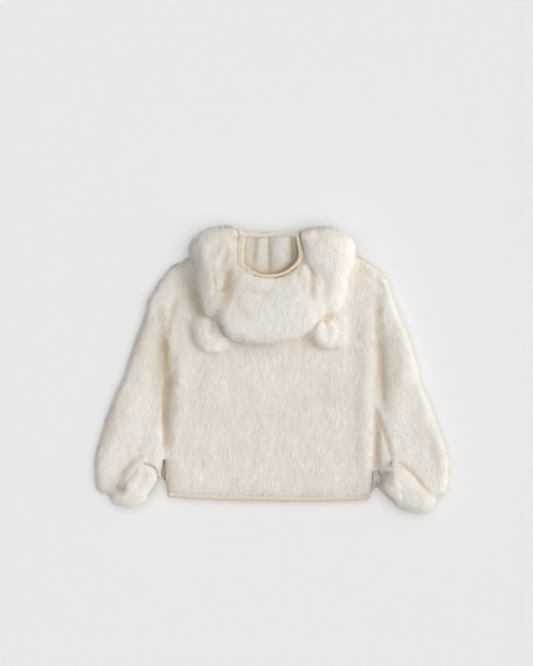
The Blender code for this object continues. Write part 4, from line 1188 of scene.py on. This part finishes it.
def add_map(mesh, locks, bridges):
    """A flat map with a cell for each lock and each bridge, for a baked finish."""
    columns = math.ceil(math.sqrt(locks + bridges))
    number = np.arange(locks + bridges)
    grid = np.stack([number % columns, number // columns], 1)
    lock_places = (grid[:locks, None] + LOCK_MAP[None])[:, LOCK_TRIANGLES.ravel()]
    bridge_places = grid[locks:, None] + LOCK_MAP[None, [0, 1, 4]]
    places = np.concatenate([lock_places.reshape(-1, 2), bridge_places.reshape(-1, 2)]) / columns
    mesh.uv_layers.new(name="OFBake").data.foreach_set("uv", places.astype(np.float32).ravel())


print("creases darken by up to", CREASE_PAINTED_DARKENING)

# %% [markdown]
# ## The pile of one panel
# The steps come together here.  A clump's tips are drawn toward its middle, and tips hang over the
# rims that the nap runs off.  The locks and the bridges become one mesh, and the two lamps' shadows
# pass it over.

# %% Grow the locks
SIZE_SPREAD = 0.5
OVERHANG = 2.6
RIM_OVERHANG = 1.5
GATHER = (0.10, 0.30)
TINT = {"clump": 0.45, "tuft": 0.15, "lock": 0.4}


def grow(name, panel, number, seed):
    """The pile of one panel."""
    rng = np.random.default_rng(seed)
    count = panel.locks
    place, normal, painted_shade = draw_places(panel, number, rng)
    sunk = crease_shade(place, panel.group)
    nap = panel.nap(place)
    along = unit(nap.mean(0))
    across = np.array([along[1], -along[0], 0.0])
    clump, sideways = cells(place, across, along, CLUMP, seed)
    tuft, _ = cells(place, across, along, TUFT, seed + 40)
    comb, leaves = lay_down(nap, place, normal, across, clump, tuft, rng)
    size = 1 + SIZE_SPREAD * (rng.random(count) - 0.5)
    reach, thin, hair, tight = reach_of_tips(panel, place, normal, clump, tuft, rng)
    gather = across * (sideways * MM * (GATHER[0] + GATHER[1] * clump[:, 2]))[:, None]
    gather -= normal * (gather * normal).sum(1, keepdims=True)
    lap = OVERHANG * (1 + RIM_OVERHANG * np.clip(leaves, 0, 1))
    overhang = comb * (lap * MM * rng.random(count) * ~tight)[:, None]
    tip = place + normal * (reach * MM)[:, None] + gather + overhang
    points, blade = build_blades(panel, place, normal, comb, tip, reach, size, thin, rng)

    first = LOCK_POINTS * np.arange(count)[:, None, None]
    bridge, bridge_normals, bridge_hidden = fillers(panel, number)
    bridges = np.arange(3 * len(bridge)).reshape(-1, 3) + LOCK_POINTS * count
    triangles = np.concatenate([(first + LOCK_TRIANGLES).reshape(-1, 3), bridges])
    mesh = mesh_from(name, np.concatenate([points.reshape(-1, 3), bridge.reshape(-1, 3)]), triangles)
    soft = np.repeat(soft_normals(normal, blade, across, comb, clump, rng), LOCK_POINTS, 0)
    soft = np.concatenate([soft, unit(bridge_normals.reshape(-1, 3) + SKYWARD * UPWARD)])
    mesh.normals_split_custom_set_from_vertices(soft.astype(np.float32))
    tint = TINT["clump"] * clump[:, 3] + TINT["tuft"] * tuft[:, 3] + TINT["lock"] * rng.random(count)
    # painted shade: a lock is tinted warm and darker by how hidden it lies and by its crease; rim hairs
    # keep less
    painted_shade = (painted_shade + CREASE_PAINTED_SHADE_TINT * sunk) * np.where(hair, HAIR_PAINTED_SHADE_SHARE, 1.0) * panel.painted_shade_strength
    # painted shade: creases darken the lock's tone
    tone = panel.tone * (1 - CREASE_PAINTED_DARKENING * sunk)
    ground = np.ones(bridges.size)
    layers = {
        "along": (np.tile(ALONG_LOCK, count), FILLER_TINT * ground),
        "across": (np.tile(ACROSS_LOCK, count), 0.0 * ground),
        "tint": (np.repeat(tint, LOCK_POINTS), FILLER_TINT * ground),
        "tone": (np.repeat(tone, LOCK_POINTS), panel.tone * ground),
        "hidden": (np.repeat(painted_shade, LOCK_POINTS), bridge_hidden.ravel()),
    }
    add_layers(mesh, layers)
    add_map(mesh, count, len(bridge))
    pile = add_piece(name, mesh, "pile")
    for light in (key, overhead):
        leave_out(light.light_linking.blocker_collection, pile)
    return pile


print("locks differ in size by", SIZE_SPREAD)

# %% [markdown]
# ## Backing
# The cloth that the locks grow from is a thin shell with the panel's form, a little inside it.  To
# sink a surface evenly without crossing itself at a tight rim, the solid is turned into a volume
# of fog that thickens inward, and the shell is the layer where the fog reaches one value.  Its
# upper side then sinks a little more, by the depth of the pile, and nowhere does it come near the
# face of the fur.

# %% Make the backing
def inset(mesh, depth, voxel):
    """The closed surface that lies a depth inside a mesh, all in millimetres."""
    solid = bpy.data.objects.new("solid", mesh)
    fog = bpy.data.objects.new("fog", bpy.data.volumes.new("fog"))
    skin = bpy.data.objects.new("skin", bpy.data.meshes.new("skin"))
    for helper in (solid, fog, skin):
        bpy.context.scene.collection.objects.link(helper)
    filling = fog.modifiers.new("filling", "MESH_TO_VOLUME")
    filling.object = solid
    filling.resolution_mode = "VOXEL_SIZE"
    filling.voxel_size = voxel * MM
    filling.interior_band_width = 2 * depth * MM
    layer = skin.modifiers.new("layer", "VOLUME_TO_MESH")
    layer.object = fog
    layer.threshold = 0.5
    graph = bpy.context.evaluated_depsgraph_get()
    result = bpy.data.meshes.new_from_object(skin.evaluated_get(graph))
    for helper in (solid, fog, skin):
        bpy.data.objects.remove(helper)
    return result


BACKING_FACE = 16.0  # area of a face, square mm
RIM_DEPTH = 0.9
SHELL_COVER = 1.3
SINKS = (1.4, 0.2)  # slope and start of the share of the pile's depth that a side sinks by


def make_backing(node, panel):
    """The shell of one panel, with only the faces that its soft form needs."""
    shell = inset(frame["nodes"][node].data.copy(), RIM_DEPTH, panel.voxel)
    points, triangles, normals = arrays_of(evaluated_mesh(shell, [smooth(6)]))
    sunk = (panel.depth - RIM_DEPTH) * MM * np.clip(SINKS[0] * normals[:, 2] - SINKS[1], 0, 1)
    pressed = press(points, normals, panel.group)
    pressed[:, 2] -= sunk
    on_face, face_normals = nearest(trees[panel.group], pressed)
    above = ((pressed - on_face) * face_normals).sum(1) > -SHELL_COVER * MM
    pressed[above] = on_face[above] - SHELL_COVER * MM * face_normals[above]
    area = sum(face.area for face in shell.polygons) / MM**2
    keep = min(1.0, area / BACKING_FACE / len(triangles))
    made = evaluated_mesh(mesh_from("fine", pressed, triangles), [("DECIMATE", {"ratio": keep})])
    made.name = node + "_backing"
    made.shade_smooth()
    return made


print("a backing's face is about", BACKING_FACE, "square mm")

# %% [markdown]
# ## Directions of the nap
# Plush has a nap: its locks all lean one way.  Here it runs down the body and along each sleeve,
# out over the hood's fold, and away from the middle of each ear.

# %% Directions of the nap
EDGES = {"at": 122, "over": 14, "left": 0.75, "right": 0.45}  # mm, and how far the nap turns
SLEEVE_TURN = {"from": 150, "over": 45, "by": 0.36}


def combed(x, y, spread=0.0, about=(0.0, 0.0)):
    """A nap in one direction, that also fans out from a point by the given share."""

    def nap(points):
        away = points[:, :2] / MM - np.array(about)
        away = away / np.maximum(np.linalg.norm(away, axis=1, keepdims=True), 1e-9)
        plan = unit(np.array([x, y])[None] + spread * away)
        return np.concatenate([plan, np.zeros((len(points), 1))], 1)

    return nap


def down_the_back(points):
    """Straight down, and outward over the two edges."""
    x = points[:, 0] / MM
    right = np.clip((x - EDGES["at"]) / EDGES["over"], 0, 1)
    left = np.clip((-x - EDGES["at"]) / EDGES["over"], 0, 1)
    outward = EDGES["right"] * right - EDGES["left"] * left
    plan = unit(np.stack([outward, -np.ones(len(points))], 1))
    return np.concatenate([plan, np.zeros((len(points), 1))], 1)


def along_sleeve(side):
    """Straight down beside the body, and outward with the sleeve further away."""

    def nap(points):
        away = (side * points[:, 0] / MM - SLEEVE_TURN["from"]) / SLEEVE_TURN["over"]
        outward = side * SLEEVE_TURN["by"] * np.clip(away, 0, 1)
        plan = unit(np.stack([outward, -np.ones(len(points))], 1))
        return np.concatenate([plan, np.zeros((len(points), 1))], 1)

    return nap


print("nap of the right sleeve at its foot:", along_sleeve(1)(np.array([[0.24, -0.15, 0.0]])).round(2))

# %% [markdown]
# ## Which sides a pile covers
# Fur that would lie inside the jacket or under another panel is never seen, so each panel says how
# thickly its pile grows on each side.

# %% Sides that a pile covers
MOUTH_END = 28.0  # below this height the hood's end shows, mm
TAPE_TOP = 45.0
RIM_BEGINS = 0.5
BLEND = 0.3
UNDER_BEGINS = 0.35
FACES_DOWN = -0.45
THINNER = 0.4


def upper(points, normals):
    """Only the upper side and the rim."""
    return np.clip((normals[:, 2] + RIM_BEGINS) / BLEND, 0, 1)


def round_mouth(points, normals):
    """The hood's upper side and end, but nothing inside the mouth that its tape frames."""
    return upper(points, normals) * ~(in_mouth(points) & (points[:, 2] > MOUTH_END * MM))


def beside_mouth(points, normals):
    """The lobes rise above the tape, so their fur stops only where they are lower."""
    return upper(points, normals) * ~(in_mouth(points) & (points[:, 2] < TAPE_TOP * MM))


def all_round(points, normals):
    """The upper side, the rim and a thinner pile underneath."""
    return np.where(normals[:, 2] > FACES_DOWN, 1.0, THINNER)


def under(points, normals):
    """Only the underside and the rim."""
    return np.clip((UNDER_BEGINS - normals[:, 2]) / BLEND, 0, 1)


print("the hood's end shows up to", MOUTH_END, "mm")

# %% [markdown]
# ## The table of panels
# One row for each panel of plush says which group it belongs to, how many locks it carries, which
# way they are combed and how large its cloth was cut.  What pairs of panels share has a row of its
# own.  Some tones are painted light and shade: the left side of the jacket lies in the hood's shade,
# so its mitt and both ears get lighter tones to keep them as bright as on the real jacket, the hood's
# left side is darker and its right side lighter as the key lamp falls, and the lining is darker
# partly as painted shade.

# %% The table of panels
@dataclass
class Panel:
    """One cut piece of plush: its group, pile and flat size.  Lengths of the pile are in mm."""

    group: str
    locks: int
    nap: object
    cut: tuple
    held: str = "laid"
    shown: object = upper
    depth: float = 3.2
    length: float = 10.0
    width: float = 1.1
    tone: float = 1.0
    voxel: float = 1.1
    fuzz: float = 5.4
    painted_shade_strength: float = 1.0
    frames_mouth: bool = False


down = combed(0.0, -1.0)
out_from_crown = combed(0.0, -1.0, 1.2, (12.0, 132.0))
# the lining's tone is lower: partly its own colour, partly painted shade for the recess it lies in
LINING = {"depth": 2.4, "length": 6.5, "width": 0.9, "tone": 0.93}
FRONT = {"cut": (0.155, 0.33), "shown": under, "depth": 2.6, "width": 1.5}
SLEEVE = {"cut": (0.16, 0.29), "shown": all_round, "voxel": 0.6}
MITT = {"held": "folded", "voxel": 0.7}
SIDE = {"cut": (0.085, 0.105), "held": "folded", "shown": beside_mouth}
CROWN = {"held": "folded", "shown": round_mouth, "voxel": 0.8, "frames_mouth": True}
# the ears' small pile keeps less painted shade
SMALL = {"depth": 2.6, "length": 8.0, "width": 0.9, "voxel": 0.7, "fuzz": 6.5, "painted_shade_strength": 0.4}
EAR = {"cut": (0.04, 0.042), **SMALL}
PANELS = {
    "back": Panel("body", 58000, down_the_back, (0.30, 0.37), "folded"),
    "front_left": Panel("body", 9000, down, **FRONT),
    "front_right": Panel("body", 9000, down, **FRONT),
    "sleeve_left": Panel("body", 37000, along_sleeve(-1), **SLEEVE),
    "sleeve_right": Panel("body", 37000, along_sleeve(1), **SLEEVE),
    # painted light: the left mitt's tone is raised, so that it shows as bright as on the real jacket
    "mitt_left": Panel("body", 9000, combed(-0.6, -0.8), (0.055, 0.06), tone=1.03, **MITT),
    "mitt_right": Panel("body", 10000, combed(0.65, -0.75), (0.06, 0.07), **MITT),
    "hood_centre": Panel("hood", 36000, out_from_crown, (0.11, 0.27), **CROWN),
    # painted shade and light: the hood's left side is darker and its right side lighter, as the key
    # lamp falls from the right
    "hood_side_left": Panel("hood", 22500, combed(0.0, -1.0, 0.8, (-66.0, 215.0)), tone=0.97, **SIDE),
    "hood_side_right": Panel("hood", 22500, combed(0.0, -1.0, 0.8, (66.0, 215.0)), tone=1.03, **SIDE),
    "hood_lining": Panel("lining", 12000, down, (0.09, 0.11), **LINING),
    # painted light: both ears' tones are raised, the left one most, as it lies in the crown's shade
    "ear_left": Panel("ears", 6000, combed(0.0, -0.3, 1.6, (-83.0, 52.0)), tone=1.16, **EAR),
    "ear_right": Panel("ears", 6000, combed(0.0, -0.3, 1.6, (77.5, 56.0)), tone=1.03, **EAR),
}
FACE = {"depth": 1.2, "length": 3.6, "width": 0.8, "tone": 1.08, "fuzz": 1.2, "painted_shade_strength": 0.4}
EAR_FACES = {
    "ear_face_left": Panel("ears", 2600, combed(0.2, -0.7, 0.8, (-83.0, 60.0)), (0.03, 0.03), **FACE),
    "ear_face_right": Panel("ears", 2600, combed(0.2, -0.7, 0.8, (77.5, 64.0)), (0.031, 0.031), **FACE),
}
print("locks:", sum(panel.locks for panel in (*PANELS.values(), *EAR_FACES.values())))

# %% [markdown]
# ## Dressing the panels
# Each panel now gets its pile and its backing.

# %% Dress every panel
for seed, (node, panel) in enumerate(PANELS.items(), 1):
    pile = grow(node + "_pile", panel, GROUPS[panel.group][0].index(node), seed)
    shell = make_backing(node, panel)
    backing = add_piece(node + "_backing", shell, "backing")
    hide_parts(node)
    area = sum(face.area for face in shell.polygons)
    print(node, "locks:", panel.locks, "backing faces:", len(shell.polygons), "area:", round(area, 4))

# %% [markdown]
# ## Tape and velour
# The bindings and the ears' faces are smooth, so a fine remesh of their solids and a slight pucker
# are nearly all they need.  Some of them then move a little, to sit in the fur as on the real
# jacket: the mouth's tape is wider on its left, the hem's tape laps over the fur above it, the
# mitts' tapes stand proud of theirs, and the ears' faces sink into it.

# %% Smooth pieces
SMOOTH = {  # voxel in mm, finish, slot and flat cut in m
    "hem_binding_back": (1.15, "tape", "binding", (0.283, 0.010)),
    "hem_binding_front_left": (0.9, "tape", "binding", (0.15, 0.010)),
    "hem_binding_front_right": (0.9, "tape", "binding", (0.125, 0.010)),
    "hood_binding": (0.85, "tape", "binding", (0.17, 0.010)),
    "mitt_binding_left": (0.6, "tape", "binding", (0.018, 0.011)),
    "mitt_binding_right": (0.5, "tape", "binding", (0.010, 0.010)),
    "ear_face_left": (1.0, "velour", "ear_face", (0.03, 0.03)),
    "ear_face_right": (1.0, "velour", "ear_face", (0.031, 0.031)),
}
PUCKER = ((0.16, 5.0, 2.2), (0.12, 2.2, 5.1))  # height and scale, mm, and shift
FACE_SINK = 1.6
STRIP = {"from": -26.0, "wider": 4.0}
HEM_LAP = {"up": 3.5, "out": 1.6}
PROUD = {"mitt_binding_left": (1.2, 0.03), "mitt_binding_right": (3.0, 0.25)}  # lift in mm, growth


def seated(node, points, normals):
    """The points of a smooth piece, puckered and moved to sit well in the fur."""
    points = points + normals * MM * waves(points, *PUCKER)[:, None]
    if node == "hood_binding":
        outer = np.clip(-normals[:, 0], 0, 1) * (points[:, 0] < STRIP["from"] * MM)
        points[:, 0] -= STRIP["wider"] * MM * outer
    if node == "hem_binding_back":
        sideways = 0 * normals[:, 0]
        lap = np.stack([sideways, HEM_LAP["up"] * normals[:, 1], HEM_LAP["out"] * normals[:, 2]], 1)
        points += np.clip(lap, 0, None) * MM
    if node in PROUD:
        lift, growth = PROUD[node]
        points = points + (points - points.mean(0)) * growth + [0, 0, lift * MM]
    if node in EAR_FACES:
        points[:, 2] -= FACE_SINK * MM
    return points


print("smooth pieces:", len(SMOOTH))

# %% [markdown]
# ## Stitches
# A row of stitching holds each tape down.  It runs near the upper edge of the hem's tapes and along
# the middle of the mouth's.  A stitch is a small ridge of thread of four triangles, dropped onto
# the tape from the side that shows.

# %% Rows of stitches
STITCH = {"every": 3.3, "long": 2.3, "wide": 0.5, "high": 0.35}
FROM_EDGE = 2.6
FROM_END = 2
NEAR = 1.2
DROP_FROM = 80.0
RISE_FROM = -20.0
MOUTH_MIDLINE = 0.65  # share of the way from the tape's inner edge to its outer one
MOUTH_RADIUS = 46.0
PAST_HALF = 0.1
NEAR_TURN = 0.05


def hem_path(points):
    """Places along a hem's tape, near its upper edge, every stitch."""
    plan = points / MM
    first, last = plan[:, 0].min() + FROM_END, plan[:, 0].max() - FROM_END
    for x in np.arange(first, last, STITCH["every"]):
        near = plan[np.abs(plan[:, 0] - x) < NEAR]
        yield x, near[:, 1].max() - FROM_EDGE


def mouth_path(points):
    """Places along the middle of the mouth's tape."""
    plan = points[:, :2] / MM - MOUTH_MIDDLE
    angle = np.arctan2(plan[:, 1], plan[:, 0])
    radius = np.linalg.norm(plan, axis=1)
    step = STITCH["every"] / MOUTH_RADIUS
    for turn in np.arange(-math.pi + PAST_HALF, PAST_HALF, step):
        near = radius[np.abs(angle - turn) < NEAR_TURN]
        middle = (1 - MOUTH_MIDLINE) * near.min() + MOUTH_MIDLINE * near.max()
        yield MOUTH_MIDDLE[0] + middle * math.cos(turn), MOUTH_MIDDLE[1] + middle * math.sin(turn)


def stitch_row(name, path, points, triangles, down):
    """A row of thread, each stitch a small ridge that lies on the tape."""
    tree = BVHTree.FromPolygons(points.tolist(), triangles.tolist())
    start = DROP_FROM * MM if down else RISE_FROM * MM
    way = (0, 0, -1 if down else 1)
    met = [tree.ray_cast((x * MM, y * MM, start), way)[:2] for x, y in path]
    places = np.array([place for place, _ in met if place is not None])
    normals = np.array([normal for place, normal in met if place is not None])
    ahead = unit(np.gradient(places, axis=0))
    aside = unit(np.cross(normals, ahead))
    half = 0.5 * STITCH["long"] * MM * ahead
    edge = 0.5 * STITCH["wide"] * MM * aside
    top = STITCH["high"] * MM * normals
    ridge = [places - half, places + half, places - edge, places + edge, places + top]
    corners = np.stack(ridge, 1)
    each = np.array([(0, 2, 4), (2, 1, 4), (1, 3, 4), (3, 0, 4)])
    numbers = len(ridge) * np.arange(len(places))[:, None, None] + each
    mesh = mesh_from(name, corners.reshape(-1, 3), numbers.reshape(-1, 3))
    return add_piece(name, mesh, "thread")


print("a stitch every", STITCH["every"], "mm")

# %% [markdown]
# ## Dressing the smooth pieces
# Each smooth piece gets what grows on it: a short pile on an ear's face, a row of stitches on a
# tape.  The mitts' tapes are too short to show any.  The press-stud caps are hard and already have
# their real shape, so they only get their finish.

# %% Dress the smooth pieces
for seed, (node, (voxel, finish, slot, cut)) in enumerate(SMOOTH.items(), 30):
    base = evaluated_mesh(frame["nodes"][node].data.copy(), [remesh(voxel), smooth(4)])
    points, triangles, normals = arrays_of(base)
    points = seated(node, points, normals)
    grown = []
    if node in EAR_FACES:
        number = GROUPS["ears"][0].index(node)
        grown = [grow(node + "_pile", EAR_FACES[node], number, seed)]
    elif node.startswith("hem"):
        path = hem_path(points)
        grown = [stitch_row(node + "_stitches", path, points, triangles, node.endswith("back"))]
    elif node == "hood_binding":
        grown = [stitch_row(node + "_stitches", mouth_path(points), points, triangles, True)]
    piece = add_piece(node + "_cloth", mesh_from(node + "_cloth", points, triangles), finish)
    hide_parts(node)
    print(node, "triangles:", len(triangles), "with", [extra.name for extra in grown])
for number in range(1, 6):
    cap = frame["nodes"][f"stud_{number}"]
    cap.data.materials.clear()
    cap.data.materials.append(FINISH["resin"])

# %% Finish
total = sum(len(piece.data.polygons) for piece in bpy.data.objects if piece.type == "MESH")
print("triangles in the scene:", total)
